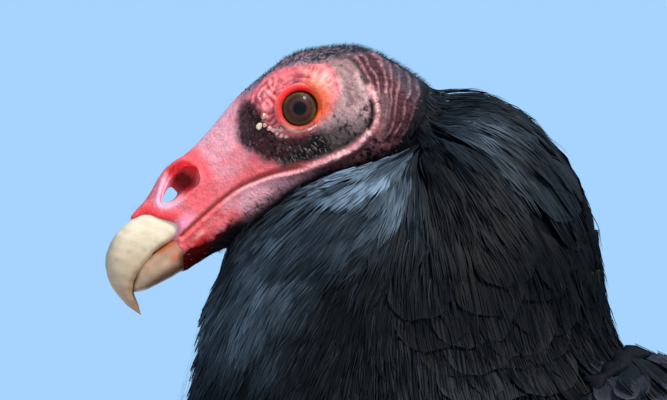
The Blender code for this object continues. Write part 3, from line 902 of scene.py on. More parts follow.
def cheek_layers(skin):
    """The cheek and temple, dark and stubbly below."""
    cheek, forward, up, speck = skin.cheek, skin.forward, skin.up, skin.speck
    low = smooth(-0.5, -7.5, 0.77 * up - 0.64 * forward + 1.3 * skin.blotch)
    worn = smooth(0.1, 0.7, speck - 0.2 * skin.blotch)
    rough = smooth(0.25, 0.95, 0.8 * skin.fleck + 0.8 * speck - 0.12 + 0.6 * low)
    groove, _ = from_curve(skin.flat, ORBIT_GROOVE)
    return [
        (TEMPLE, cheek),
        (CHEEK_GREY, cheek * low),
        (CHEEK_PALE, 0.7 * cheek * worn * (1 - 0.45 * low)),
        (STUBBLE, cheek * 0.9 * rough),
        (colour(196, 108, 110), 0.7 * bell(groove, 0, 0.9) * smooth(-9, -4, up + 0.2 * forward)),
    ]


def lore_layers(skin):
    """The dark patch in front of the eye, with a ragged edge."""
    speck = skin.speck
    ragged = skin.flat + 0.6 * np.column_stack((skin.fleck, speck))
    lore = inside(ragged, LORE_PATCH, 1.3)
    return [
        (STUBBLE, lore * (0.93 + 0.07 * speck)),
        (colour(124, 108, 96), lore * smooth(0.35, 0.9, speck) * smooth(3, -5, skin.up) * 0.55),
    ]


def nape_layers(skin):
    """Pale folds with dark grooves between them, the grooves deepened by painted shade and the crests given a
    painted highlight.
    """
    ridge, strength, speck, fleck = skin.ridge, skin.strength, skin.speck, skin.fleck
    pale = smooth(0.25, 0.8, ridge) * (0.86 + 0.14 * speck)
    lower = 1 - 0.35 * smooth(-10, -24, skin.up)
    return [
        # painted shade deepens the dark grooves between the folds
        (GROOVE, 0.95 * smooth(0.0, 0.9, strength)),
        (FOLD_PINK, pale * smooth(0, 0.6, strength) * lower),
        # painted highlight along the crests of the folds
        (colour(196, 146, 144), 0.6 * pale * strength * smooth(0.3, 0.9, speck + 0.3 * fleck)),
        (STUBBLE, strength * (0.7 - 0.3 * ridge) * smooth(0.1, 0.7, 0.3 * fleck - speck)),
    ]


def jaw_ridge_layers(skin):
    forward, up, speck, fleck = skin.forward, skin.up, skin.speck, skin.fleck
    gap, along = from_curve(skin.flat, JAW_RIDGE)
    ridge = np.exp(-((gap / (1.05 + 0.2 * fleck)) ** 4))
    ridge = ridge * smooth(0, 0.1, along) * (1 - smooth(0.88, 1.0, along))
    behind = smooth(0.8, 1.6, gap) * (1 - smooth(2.2, 4.5, gap))
    behind = behind * smooth(-2, -8, forward) * smooth(-9, -14, up)
    return [
        (colour(206, 136, 138), ridge * (0.86 + 0.14 * speck)),
        (colour(226, 178, 170), 0.8 * ridge * smooth(0.0, 0.7, fleck + speck)),
        (colour(120, 66, 70), 0.7 * ridge * smooth(0.35, 0.9, 0.4 * fleck - speck)),
        (colour(136, 98, 99), 0.5 * behind * (1 - skin.cheek)),
        # painted shade in the furrow beside the ridge
        (colour(88, 40, 44), 0.5 * bell(gap, 1.5, 0.5) * smooth(0.1, 0.2, along)),
    ]


def ear_layers(skin):
    """The slit of the ear, the hairs round it, and the hairy skin under the jaw's ridge."""
    speck, fleck, forward = skin.speck, skin.fleck, skin.forward
    gap, _ = from_curve(skin.flat, EAR_SLIT)
    hairs = bump_at(skin.flat, (-13.6, -11.0), 3.4)
    line = np.array(JAW_RIDGE[4:])
    under = np.interp(forward, line[:, 0], line[:, 1]) - skin.up
    hairy = smooth(0.8, 2.4, under) * (1 - smooth(8, 16, forward)) * smooth(-20, -12, forward)
    hairy = hairy * (1 - skin.strength)
    return [
        # painted shade: the slit of the ear is painted near black, as the shade inside its opening
        (colour(16, 11, 13), bell(gap, 0, 0.55)),
        (STUBBLE, hairs * smooth(-0.1, 0.7, speck)),
        (colour(74, 56, 58), hairy * (0.8 + 0.2 * fleck)),
        (STUBBLE, hairy * smooth(-0.2, 0.5, speck + 0.3 * fleck)),
    ]


def crown_layers(skin):
    fleck, forward = skin.fleck, skin.forward
    folds = skin.strength * skin.ridge
    nape = smooth(-23.5, -27.5, forward + 0.4 * fleck) * (1 - 0.5 * folds)
    crown = np.maximum(crown_share(skin.points, skin.flat), nape)
    dark = smooth(0.3, -0.5, skin.speck + 0.4 * fleck + 0.05 * (forward + 8))
    return [
        (CROWN, crown * (0.9 + 0.1 * skin.blotch) * (1 - 0.5 * folds)),
        (STUBBLE, crown * (0.9 - 0.6 * skin.strength * skin.ridge) * dark),
    ]


def cere_layers(skin):
    """The red skin at the base of the bill, along the edge of the horn."""
    up = skin.up
    ahead = ahead_of_horn(skin.flat)
    cere = smooth(-3.4, -0.6, ahead)
    strip = smooth(-7, -2, ahead) * smooth(-5.5, -3.8, up) * (1 - smooth(-2.5, -0.3, up))
    return [
        (HOT_RED, 0.75 * cere * smooth(-1.8, 0.5, up) * (1 - smooth(6.5, 8.5, up))),
        (colour(222, 130, 152), 0.8 * strip),
    ]


def nostril_layers(skin):
    """A red rim behind the nostril, a pale one in front, and a deep red hollow with painted shade that
    darkens it further in.
    """
    forward = skin.forward
    gap, _ = from_curve(skin.flat, NOSTRIL_RIM + NOSTRIL_RIM[:1], 6)
    within = inside(skin.flat, NOSTRIL_RIM, 0.35)
    rear = 1 - smooth(37.5, 41.5, forward)
    upper = smooth(4.0, 6.5, skin.up)
    deep = within * smooth(0.3 + 0.8 * upper, 1.3 + 1.1 * upper, gap)
    front_rim = (1 - rear) * bell(gap, 0.4, 1.1) * (1 - 0.4 * deep)
    return [
        (RED, bell(gap, 0, 1.3) * rear * upper),
        (HOT_RED, 0.55 * bell(gap, 2.2, 2.2) * (1 - smooth(30, 33, forward)) * (1 - within)),
        (RED, within * rear),
        # painted shade deep in the hollow, darkest towards the rear
        (colour(84, 2, 4), deep * (0.3 + 0.7 * rear)),
        (colour(222, 146, 160), front_rim),
    ]


def jaw_layers(skin):
    """The lower jaw below the gape: pink, then red towards the bill, where painted shade turns it dark red
    and near black below, with a painted highlight.
    """
    forward, fleck = skin.forward, skin.fleck
    line = fine(GAPE)
    gap, along = from_line(skin.flat, line)
    below = height_at(forward, line) - skin.up
    jaw = smooth(0, 0.6, below) * smooth(6, 10, forward)
    shine = bump_at(skin.flat * (0.45, 1.3) + (23.4, 2.6), (42.5, -8.0), 0.9)
    shadow = below + 0.6 * fleck + 0.4 * np.clip(forward - 41, 0, 7)
    edge = below + 0.06 * (40 - forward)
    crease = bell(gap, 0, 0.42) * (1 - smooth(0.93, 1.0, along))
    glow = bell(gap, 0.9, 0.8) * (below < 0) * smooth(0.35, 0.6, along)
    chin = smooth(5.0, 9.0, below + 1.2 * fleck) * (1 - smooth(26, 33, forward)) * smooth(2, 6, forward)
    return [
        (colour(214, 144, 148), jaw),
        (HOT_RED, jaw * smooth(27, 35, forward + 3 * skin.blotch) * (0.66 + 0.2 * fleck)),
        (RED, jaw * bump_at(skin.flat, (43.5, -10.0), 3.4)),
        (colour(236, 150, 136), 0.8 * jaw * shine),
        # painted shade on the jaw's underside: dark red, then near black lower down
        (MAROON, jaw * smooth(29, 36, forward) * smooth(5.4, 7.0, shadow)),
        (colour(20, 9, 11), jaw * smooth(26, 34, forward) * smooth(6.8, 8.4, edge)),
        (GAPE_BROWN, crease),
        (colour(188, 50, 48), 0.4 * glow),
        (STUBBLE, chin * (0.7 + 0.3 * skin.speck)),
    ]


HEAD_LAYERS = (
    face_layers, eye_layers, cheek_layers, lore_layers, nape_layers, jaw_ridge_layers,
    ear_layers, crown_layers, cere_layers, nostril_layers, jaw_layers,
)


def head_colours(points):
    """The colour of the head's skin at each point of the head frame."""
    skin = HeadSkin(points)
    tint = PINK
    for layers in HEAD_LAYERS:
        tint = layered(tint, *layers(skin))
    return np.clip(tint, 0, 1)


def lid_colours(points):
    far, angle = around_eye(drawn(points))
    outer = smooth(6.0, 6.7, far) * np.maximum(quadrant(angle, 110, 75), quadrant(angle, 30, 60))
    inner = (1 - smooth(4.5, 5.1, far)) * (1 - 0.5 * quadrant(angle, 205, 80))
    return layered(
        colour(176, 44, 40),
        (ORANGE, quadrant(angle, 205, 75)),
        (colour(238, 36, 32), quadrant(angle, 118, 70)),
        (colour(150, 62, 50), quadrant(angle, -50, 75)),
        (colour(204, 140, 128), quadrant(angle, -52, 62) * smooth(5.5, 6.2, far)),
        (colour(206, 92, 92), 0.75 * outer),
        (colour(40, 12, 10), inner),
    )


# ---------------------------------------------------------------- bill and eyes

UPPER_BILL = [
    (42, -4.6, 47, 6.6, 5.2, 0.30, 2.3),
    (48, -4.9, 54, 7.0, 5.6, 0.28, 2.4),
    (54, -4.3, 59.8, 6.6, 5.6, 0.25, 2.5),
    (60, -5.2, 65.4, 4.0, 5.1, 0.27, 2.5),
    (63.7, -6.4, 68.5, 0.3, 4.4, 0.34, 2.3),
    (65.8, -8.0, 70.0, -4.6, 3.3, 0.42, 2.1),
    (66.9, -10.2, 70.1, -8.8, 2.2, 0.50, 2.0),
    (67.6, -12.3, 69.5, -12.0, 1.1, 0.50, 2.0),
    (68.5, -14.2, 69.0, -14.1, 0.35, 0.50, 2.0),
]
LOWER_BILL = [
    (44, -13.7, 42, -4.9, 5.2, 0.68, 2.6),
    (50, -13.0, 48, -4.3, 5.6, 0.70, 2.8),
    (57, -11.7, 55, -3.6, 5.5, 0.70, 2.8),
    (62.3, -10.5, 61, -4.3, 4.9, 0.70, 2.6),
    (65.2, -9.2, 64.4, -6.2, 3.5, 0.64, 2.3),
    (66.2, -8.4, 65.9, -7.6, 1.4, 0.50, 2.0),
]
GAPE_CRACK = [(44, -5.2), (48.8, -5.2), (52.7, -4.5), (56.5, -4.0)]
BILL_IVORY = colour(196, 178, 150)
BILL_TAN = colour(122, 88, 60)
BILL_SPOTS = ((60.5, 1.0), (62, -3.5), (57, -1.5), (64.5, 1.5))
JAW_SWELLING = (51.8, -8.2)


def tapered_loft(name, sections, rings, columns, relief):
    """A closed skin through fine rings, raised by relief(points), in the head frame."""
    grid = section_points(evenly(sections, rings), columns)
    flat = grid.reshape(-1, 3)
    points = flat + outward_normals(grid).reshape(-1, 3) * relief(flat)[:, None]
    last = grid[-1].mean(axis=0)
    tip = last + 0.3 * unit(last - grid[-3].mean(axis=0))
    return closed_tube(name, points.reshape(grid.shape), from_head, (grid[0].mean(axis=0), tip))


def upper_bill_relief(points):
    """Growth ridges, a crack that carries the gape on, and a fine wavy cutting edge."""
    flat = points[:, 1:]
    gap, along = from_curve(flat, GAPE_CRACK)
    side = smooth(1.0, 3.0, np.abs(points[:, 0]))
    crack = -0.5 * bell(gap, 0, 0.3) * (1 - smooth(0.85, 1.0, along)) * side
    growth = np.cos((flat[:, 0] * 0.85 - flat[:, 1] * 0.5) * 2.1 + 1.5 * lattice(points / 4, 41))
    sunk = -1.5 * smooth(-0.5, 1.4, -ahead_of_horn(flat))
    wavy, grain = lattice(points / 3.5, 42), lattice(points / 1.1, 43)
    return crack + sunk + 0.03 * growth + 0.12 * wavy + 0.03 * grain


def lower_bill_relief(points):
    growth = np.cos(points[:, 1] * 1.9 + 2 * lattice(points / 4, 45))
    sunk = -1.8 * smooth(0.2, 1.6, -ahead_of_horn(points[:, 1:]))
    swelling = 0.35 * bump_at(points[:, 1:], JAW_SWELLING, 1.2)
    return 0.04 * growth + 0.12 * lattice(points / 3.0, 46) + swelling + sunk


def bill_colours(points):
    """Ivory on top, browner towards the tip, the edges and the base of the lower half."""
    forward, up = points[:, 1], points[:, 2]
    stain = lattice(points / np.array((3.0, 4.5, 2.2)), 51)
    low = smooth(1.5, -11, up - 0.3 * (forward - 60) + 1.2 * stain)
    grain = np.column_stack((points[:, 0] / 4, (forward + up) / 5, (forward - up) / 0.9))
    streak = smooth(0.1, 0.9, lattice(grain, 52))
    front = smooth(3.4, 0.8, np.abs(points[:, 0])) * smooth(59, 63, forward)
    spots = [bump_at(points[:, 1:], place, 0.55) for place in BILL_SPOTS]
    gap, along = from_curve(points[:, 1:], GAPE_CRACK)
    fade = 1 - smooth(0.7, 1.0, along)
    return layered(
        BILL_IVORY,
        (colour(168, 144, 112), smooth(-4, 7, forward - 57 + 0.6 * (2 - up)) * 0.8),
        (BILL_TAN, low * (0.8 + 0.2 * stain)),
        (colour(150, 116, 90), 0.45 * smooth(64, 70, forward) + 0.15 * stain),
        (colour(172, 146, 112), 0.35 * streak),
        (colour(134, 96, 72), 0.62 * front),
        (colour(140, 116, 84), 0.5 * np.maximum.reduce(spots)),
        (colour(196, 132, 88), 0.7 * bell(gap, 0, 1.6) * fade),
        (colour(138, 56, 22), bell(gap, 0, 0.8) * fade),
    )


def lower_bill_colours(points):
    up = points[:, 2]
    stain = lattice(points / 2.6, 53)
    crack, along = from_curve(points[:, 1:], GAPE_CRACK)
    squeeze = np.array((0.9, 1.1))
    bump = bump_at(points[:, 1:] * squeeze, JAW_SWELLING * squeeze, 1.5)
    edge, _ = from_curve(points[:, 1:], HORN_EDGE)
    return layered(
        colour(152, 118, 88),
        (colour(94, 62, 48), smooth(-7.0, -11.0, up + 0.8 * stain) * 0.85),
        (colour(190, 156, 120), 0.5 * smooth(0.1, 0.8, stain)),
        (colour(150, 70, 34), 0.9 * bell(crack, 0, 1.1) * (1 - smooth(0.7, 1.0, along))),
        (colour(176, 84, 42), 0.85 * bump),
        (MAROON, bell(edge, 0, 1.1) * 0.85 * smooth(-6, -9, up)),
    )


def build_bill():
    material, shader = plain_material("bill_horn", BILL_IVORY, 0.34, Subsurface_Weight=0.1, Coat_Weight=0.1)
    shader.inputs["Coat Roughness"].default_value = 0.16
    shader.inputs["Subsurface Scale"].default_value = 0.002
    shader.inputs["Subsurface Radius"].default_value = (1.0, 0.6, 0.35)
    cloud = texture(material, "noise", Scale=420.0, Detail=5.0, Roughness=0.6)
    tinted(material, shader, "tint", cloud, "Fac", 0.07)
    add_bump(material, shader, texture(material, "noise", Scale=1500.0, Detail=3.0), "Fac", 0.00006)
    for name, sections, relief, paints, (rings, columns) in (
        ("upper_bill", UPPER_BILL, upper_bill_relief, bill_colours, (150, 130)),
        ("lower_bill", LOWER_BILL, lower_bill_relief, lower_bill_colours, (90, 100)),
    ):
        obj = tapered_loft(name + "_horn", sections, rings, columns, relief)
        paint(obj, "tint", paints(to_head(points_of(obj))))
        finish_piece(obj, material, "bill_horn", name)


def eye_material():
    """A wet ball: the stored colours under a clear, mirror-smooth coat."""
    material, shader = plain_material("eye", colour(46, 28, 20), 0.5, Coat_Weight=0.07)
    shader.inputs["Coat Roughness"].default_value = 0.015
    shader.inputs["Specular IOR Level"].default_value = 0.08
    fibres = texture(material, "noise", Scale=2500.0, Detail=3.0)
    tinted(material, shader, "tint", fibres, "Fac", 0.12)
    return material


def iris_colours(points):
    """Colours of the eyeball from the distance to its axis: pupil, iris, dark rim, white; the iris's top gets
    a painted shadow of the upper lid.
    """
    far, degrees = around_eye(drawn(points))
    offset = drawn(points) - EYE_MIDDLE
    angle = np.arctan2(offset[:, 1], offset[:, 0])
    spokes = lattice(np.column_stack((angle * 14, far / 1.6, np.sign(points[:, 0]))), 61)
    return layered(
        colour(60, 42, 28),
        (colour(30, 20, 20), 0.5 + 0.5 * spokes),
        # painted shadow of the upper lid, darkening the top of the iris
        (colour(22, 17, 23), 0.85 * quadrant(degrees, 120, 110)),
        (colour(92, 66, 36), smooth(3.3, 4.1, far) * (0.6 + 0.3 * spokes)),
        (colour(66, 26, 20), bell(far, 2.5, 0.6) * 0.7),
        (colour(14, 9, 8), smooth(4.3, 4.75, far)),
        (colour(2, 2, 3), 1 - smooth(1.75, 2.0, far)),
    )


def eye_grid(side):
    """A ball with a slightly steeper dome in front, over the iris: rings round its axis."""
    front = np.array((side * EYE_FRONT, *(np.array(EYE_MIDDLE) + EYE_FRONT * DRAWN_SHIFT)))
    axis = unit(np.array((side * 1.0, *DRAWN_SHIFT)) * (1, 0.6, 0.6))
    centre = front - axis * (EYE_BALL + EYE_DOME)
    across = unit(np.cross(axis, (0, 0, 1)))
    tilt = np.linspace(0, math.pi, EYE_RINGS)
    turn = np.linspace(0, 2 * math.pi, EYE_COLUMNS, endpoint=False)
    radius = EYE_BALL + EYE_DOME * (1 - smooth(0.15, 0.95, tilt))
    grid = centre + (radius * np.cos(tilt))[:, None, None] * axis
    wheel = wheel_spokes(turn, across, np.cross(across, axis))
    return grid + (radius * np.sin(tilt))[:, None, None] * wheel


def build_eyes():
    material = eye_material()
    faces = grid_faces(EYE_RINGS, EYE_COLUMNS, True)
    for name, side in SIDES.items():
        obj = mesh_object(f"eyeball_{name}", from_head(eye_grid(side).reshape(-1, 3)), faces)
        face_outwards(obj, merge=1e-6)
        paint(obj, "tint", iris_colours(to_head(points_of(obj))))
        finish_piece(obj, material, "eye", f"eye_{name}")


# ---------------------------------------------------------------- the body's form

# Cross-sections in the side frame: low point, high point, half width, widest share, power, sag.
NECK_AND_TRUNK = [
    (-15, -31, 31, 4, 19, 0.50, 2.0, 16),
    (-19, -37, 40, 6, 28, 0.50, 2.0, 15),
    (-22, -44, 53, 4.5, 34, 0.50, 2.0, 12),
    (-25, -51, 67, -7.5, 39, 0.50, 2.0, 8),
    (-28, -60, 78, -30, 43, 0.50, 2.1, 4),
    (-32, -75, 85, -62, 48, 0.50, 2.1, 0),
    (-38, -100, 104, -80, 55, 0.50, 2.1, 0),
    (-38, -132, 132, -90, 63, 0.50, 2.1, 0),
    (-16, -180, 166, -109, 68, 0.50, 2.2, 0),
    (35, -220, 200, -136, 67, 0.52, 2.2, 0),
    (95, -243, 233, -163, 60, 0.54, 2.2, 0),
    (160, -252, 262, -193, 48, 0.54, 2.2, 0),
    (215, -252, 286, -213, 35, 0.54, 2.1, 0),
    (262, -250, 305, -228, 22, 0.52, 2.0, 0),
    (288, -250, 310, -240, 12, 0.50, 2.0, 0),
]
# The folded wing from shoulder to tip: top edge, bottom edge (across, back, up), bulge, thickness.
WING = [
    (46, 78, -63.5, 54, 60, -96, 5, 7),
    (36, 95, -58.5, 62, 40, -140, 27, 18),
    (24, 125, -78, 70, 46, -184, 34, 24),
    (15, 165, -103, 74, 92, -224, 38, 25),
    (9, 215, -139, 72, 160, -246, 35, 23),
    (6, 270, -178, 66, 228, -258, 27, 18),
    (5, 335, -215, 58, 300, -270, 17, 12),
    (5, 405, -248, 49, 375, -286, 9, 8),
    (7, 470, -278, 40, 452, -301, 4, 6),
    (13, 522, -302, 28, 516, -312, 1, 3),
    (18, 534, -309, 23, 533, -313, 0.3, 1.5),
]
SHOULDER_DROP = 2.5  # how much lower the bird's right shoulder hangs than its left
COVERTS_STATION = 5.4  # the wing's scattered coverts end here
TAIL_ROOT, TAIL_LENGTH, TAIL_SLOPE = (262.0, -232.0), 268.0, math.radians(19)
TAIL_HALF_WIDTHS, TAIL_ARCH = (17.0, 34.0, 47.0), 7.0
GROUND = -to_side(np.zeros((1, 3)))[0]  # the origin seen from the eyes
EYE_HEIGHT = GROUND[2]
HOCK = (40.0, 152.0, 76.0)
THIGH_TOP = (36.0, 108.0, 150.0)
FOOT = (46.0, 128.0, 0.0)


def body_rings(rings, columns, inset=0.0):
    """Rings of the neck and trunk in the side frame, drawn in by inset."""
    rows = evenly(NECK_AND_TRUNK, rings)
    grid = section_points(rows, columns)
    low, high = rows[:, 0:2], rows[:, 2:4]
    behind = unit(np.column_stack((high[:, 1] - low[:, 1], low[:, 0] - high[:, 0])))
    angles = wheel_angles(columns) + math.pi / 2
    share = np.abs(np.cos(angles)) * ((1 + np.sin(angles)) / 2) ** 2
    grid[..., 1:] += behind[:, None] * (rows[:, 7:8] * share)[..., None]
    if inset:
        grid -= outward_normals(grid) * inset
    return grid


def wing_grid(rings, columns, side):
    """The outer face of a folded wing in the side frame, from its top edge to its bottom edge."""
    stations = np.linspace(0, len(WING) - 1, rings)[:, None]
    return wing_points(stations, np.linspace(0, 1, columns)[None], side, 0.0)[0]


def wing_chord(stations, share):
    """Rows of WING at stations, and the points at shares of the way from top to bottom edge."""
    rows = curve_at(WING, stations.ravel())
    top, bottom = rows[:, 0:3], rows[:, 3:6]
    return rows, top + (bottom - top) * share.reshape(-1, 1)


def wing_points(station, share, side, height):
    """Points and outward directions on the wing's outer face, raised by height."""
    station, share = np.broadcast_arrays(np.asarray(station, float), np.asarray(share, float))
    shape = station.shape
    rows, point = wing_chord(station, share)
    top, bottom, bulge = rows[:, 0:3], rows[:, 3:6], rows[:, 6:7]
    run = wing_chord(station + 0.05, share)[1] - wing_chord(station - 0.05, share)[1]
    outward = unit(np.cross(bottom - top, run))
    outward *= np.sign(outward[:, :1])
    inset = np.sqrt(np.clip(4 * share * (1 - share), 0, 1)).reshape(-1, 1)
    point = point + outward * (bulge * inset**2 + np.broadcast_to(height, shape).reshape(-1, 1))
    # towards its edges the face turns over the body
    rolled = unit(outward + unit(top - bottom) * ((0.5 - share.reshape(-1, 1)) * bulge / 22))
    if side < 0:
        point[:, 2] -= SHOULDER_DROP * (1 - smooth(0.3, 2.0, station.ravel()))
    flip = np.array((side, 1, 1))
    return (point * flip).reshape(*shape, 3), (rolled * flip).reshape(*shape, 3)


def leg_rings(path, radii, count, steps):
    """Rings round a smooth path in the side frame."""
    rows = fine(np.column_stack((path, radii)), steps)
    run = unit(np.gradient(rows[:, :3], axis=0))
    side = unit(np.cross(run, (0, 1, 0)))
    rise = np.cross(side, run)
    wheel = wheel_spokes(wheel_angles(count), side[:, None], rise[:, None])
    return rows[:, None, :3] + wheel * rows[:, None, 3:4]


def from_floor(place, side):
    """A side-frame point from (across, back, up from the floor) on one side of the bird."""
    return np.array((side * place[0], place[1], place[2] - EYE_HEIGHT))


def thigh_rings(side, inset=0.0):
    hock, top = from_floor(HOCK, side), from_floor(THIGH_TOP, side)
    shares = np.array((0.0, 0.12, 0.3, 0.5, 0.75, 1.0))
    radii = np.array((9.0, 15.0, 21.0, 26.0, 30.0, 31.0)) - inset
    return leg_rings(hock + (top - hock) * shares[:, None], radii, 40, 6)


# How many random places are tried for the roots of each kind of feather.
TRIES = {"ruff": 90000, "strands": 9000, "bristles": 70000, "body": 26000, "coverts": 12000, "thighs": 6000}


class Surface:
    """A surface in the side frame, made of four-sided faces, that rays can hit."""

    def __init__(self, points, faces):
        self.points, self.faces = points, faces
        self.tree = BVHTree.FromPolygons(points.tolist(), faces.tolist())

    @classmethod
    def of_grids(cls, grids):
        """From grids of points, each closed on itself round its columns or not."""
        points, faces, start = [], [], 0
        for grid, wrap in grids:
            rows, columns = grid.shape[:2]
            points.append(grid.reshape(-1, 3))
            some = grid_faces(rows, columns, wrap)
            a, b, c, d = (points[-1][some[:, k]] for k in range(4))
            from_middle = a - grid.mean(axis=1)[some[:, 0] // columns]
            if np.sum(np.cross(c - a, d - b) * from_middle) < 0:
                some = some[:, ::-1]
            faces.append(some + start)
            start += rows * columns
        return cls(np.concatenate(points), np.concatenate(faces))

    @classmethod
    def of_object(cls, obj):
        """From the four-sided faces of a mesh."""
        faces = [list(face.vertices) for face in obj.data.polygons if len(face.vertices) == 4]
        return cls(to_side(points_of(obj)), np.array(faces))

    def land(self, points, normals, above=14.0, below=30.0):
        """The outermost surface under each point, seen along its normal."""
        places, found = points.copy(), normals.copy()
        for i, (point, normal) in enumerate(zip(points, normals)):
            start = Vector(point + normal * above)
            hit, face_normal, _, _ = self.tree.ray_cast(start, Vector(-normal), above + below)
            if hit is not None:
                turned = np.array(face_normal) * (1 if face_normal.dot(Vector(normal)) > 0 else -1)
                places[i] = hit
                found[i] = turned
        return places, unit(found)

    def scatter(self, count, keep):
        """Random points over the surface with their outward directions, where keep says so."""
        a, b, c, d = (self.points[self.faces[:, k]] for k in range(4))
        normal = np.cross(c - a, d - b)
        area = np.linalg.norm(normal, axis=1)
        pick = rng.choice(len(area), count, p=area / area.sum())
        s, t = rng.random((2, count, 1))
        points = (a[pick] * (1 - s) + b[pick] * s) * (1 - t) + (d[pick] * (1 - s) + c[pick] * s) * t
        return points[keep(points)], unit(normal)[pick][keep(points)]


def chosen(which, *arrays):
    return [values[which] for values in arrays]


def thinned(points, spacing):
    """Indices of points no nearer to each other than their spacing, in random order."""
    kept = []
    cell = {}
    size = spacing.max()
    for i, (point, gap) in enumerate(zip(points, spacing)):
        home = tuple((point // size).astype(int))
        near = [j for step in np.ndindex(3, 3, 3) for j in cell.get(tuple(np.add(home, step) - 1), ())]
        if near and np.min(np.linalg.norm(points[near] - point, axis=1)) < gap:
            continue
        kept.append(i)
        cell.setdefault(home, []).append(i)
    return np.array(kept)


# Which way the feathers lie: (back, up) places and (back, up) headings on the side of the bird.
LIE = [
    (-24, -33, -0.80, -0.60), (-5, -20, -0.90, -0.45), (-13, -28, -0.85, -0.50), (0, -32, -0.72, -0.68),
    (-16, -49, -0.52, -0.85), (-23, -67, -0.32, -0.94), (11, -22, -0.80, -0.60), (11, -38, -0.55, -0.83),
    (8, -59, -0.30, -0.95), (20, -19, -0.50, -0.86), (27, -13, -0.10, -1.0), (28, -22, 0.0, -1.0),
    (32, -15, 0.20, -0.98), (27, -40, -0.10, -1.0), (27, -65, 0.05, -1.0),
    (40, 0, 0.85, -0.50), (40, -13, 0.45, -0.88), (40, -38, 0.25, -0.97), (54, 0, 0.85, -0.50),
    (65, -11, 0.70, -0.70), (59, -30, 0.45, -0.90), (77, -27, 0.50, -0.87), (78, -51, 0.20, -0.98),
    (49, -65, 0.15, -0.99), (-30, -110, -0.02, -1.0), (50, -110, 0.35, -0.94), (100, -90, 0.80, -0.60),
    (150, -110, 0.86, -0.50), (220, -150, 0.88, -0.47), (280, -225, 0.95, -0.32), (0, -170, 0.40, -0.92),
    (60, -225, 0.86, -0.50), (150, -250, 0.97, -0.22), (110, -225, 0.50, -0.87), (140, -270, 0.30, -0.95),
]


def lie_of_coat(points):
    """The heading of the coat at points of the side frame, as (across, back, up)."""
    rows = np.array(LIE)
    gap = np.linalg.norm(points[:, None, 1:] - rows[None, :, :2], axis=2)
    weight = 1 / (gap + 6) ** 3.2
    heading = weight @ rows[:, 2:] / weight.sum(axis=1, keepdims=True)
    turn = 0.20 * lattice(points / 9, 61) + 0.12 * lattice(points / 4, 62)
    cos, sin = np.cos(turn), np.sin(turn)
    back, up = heading[:, 0] * cos - heading[:, 1] * sin, heading[:, 0] * sin + heading[:, 1] * cos
    return np.column_stack((np.zeros(len(points)), back, up))


def trace(surface, points, normals, lengths, steps, heading):
    """Paths over the surface from each root, with the surface's directions along them."""
    path, ups = [points], [normals]
    for _ in range(steps):
        run = heading(points)
        run = run - normals * np.sum(run * normals, axis=1, keepdims=True)
        moved = points + unit(run) * (lengths / steps)[:, None]
        points, fresh = surface.land(moved, normals)
        normals = unit(0.55 * fresh + 0.45 * normals)
        path.append(points)
        ups.append(normals)
    return np.stack(path, axis=1), np.stack(ups, axis=1)


# ---------------------------------------------------------------- feathers


def steady(paths):
    """Whether each path runs on evenly, with no jump from one surface to another."""
    gaps = np.linalg.norm(np.diff(paths, axis=1), axis=2)
    return gaps.max(axis=1) < 2.2 * np.median(gaps, axis=1)


def along_paths(paths, share):
    """Points at shares (n, m) of the way along paths (n, k, 3), on smooth curves."""
    last = paths.shape[1] - 1
    place = np.clip(share, 0, 1) * last
    start = np.minimum(place.astype(int), last - 1)
    rows = np.arange(len(paths))[:, None]
    a, b = paths[rows, np.maximum(start - 1, 0)], paths[rows, start]
    c, d = paths[rows, start + 1], paths[rows, np.minimum(start + 2, last)]
    return spline(a, b, c, d, (place - start)[..., None])


def vane_width(t, base):
    """Width of a vane over its full width, at shares of the way to its edge."""
    return base + (1 - base) * (1 - np.clip(1 - t, 0, 1) ** 2.4)


def vane_edge(lane, aspect, rounded):
    """How far along the feather its edge lies, where lane goes from 0 at the shaft to 1."""
    cap = np.minimum(rounded * aspect, 0.6)[:, None]
    return 1 - cap * (1 - np.sqrt(1 - 0.99 * lane**2.4))


SHEET_COLUMNS = 11
STRIP_POINTS = 7


def sheet_template(aspect, cut):
    """A closed vane: places across, along, share of the way to the edge, and height."""
    lanes = np.sin(np.linspace(-1.45, 1.45, SHEET_COLUMNS))
    steps = cut.reach * (1 - (1 - np.linspace(0, 1, cut.rows)) ** 1.5)
    t, u = np.meshgrid(steps, lanes, indexing="ij")
    t, u = np.broadcast_to(t.ravel(), (len(aspect), t.size)), u.ravel()
    ragged = 1 + 0.012 * rng.normal(0, 1, (len(aspect), u.size))
    edge = vane_edge(np.abs(u), aspect, cut.rounded) * ragged
    root = 0.04 + 0.22 * np.abs(u)
    return u * vane_width(t, cut.base), root + (edge - root) * t, t, 0 * t


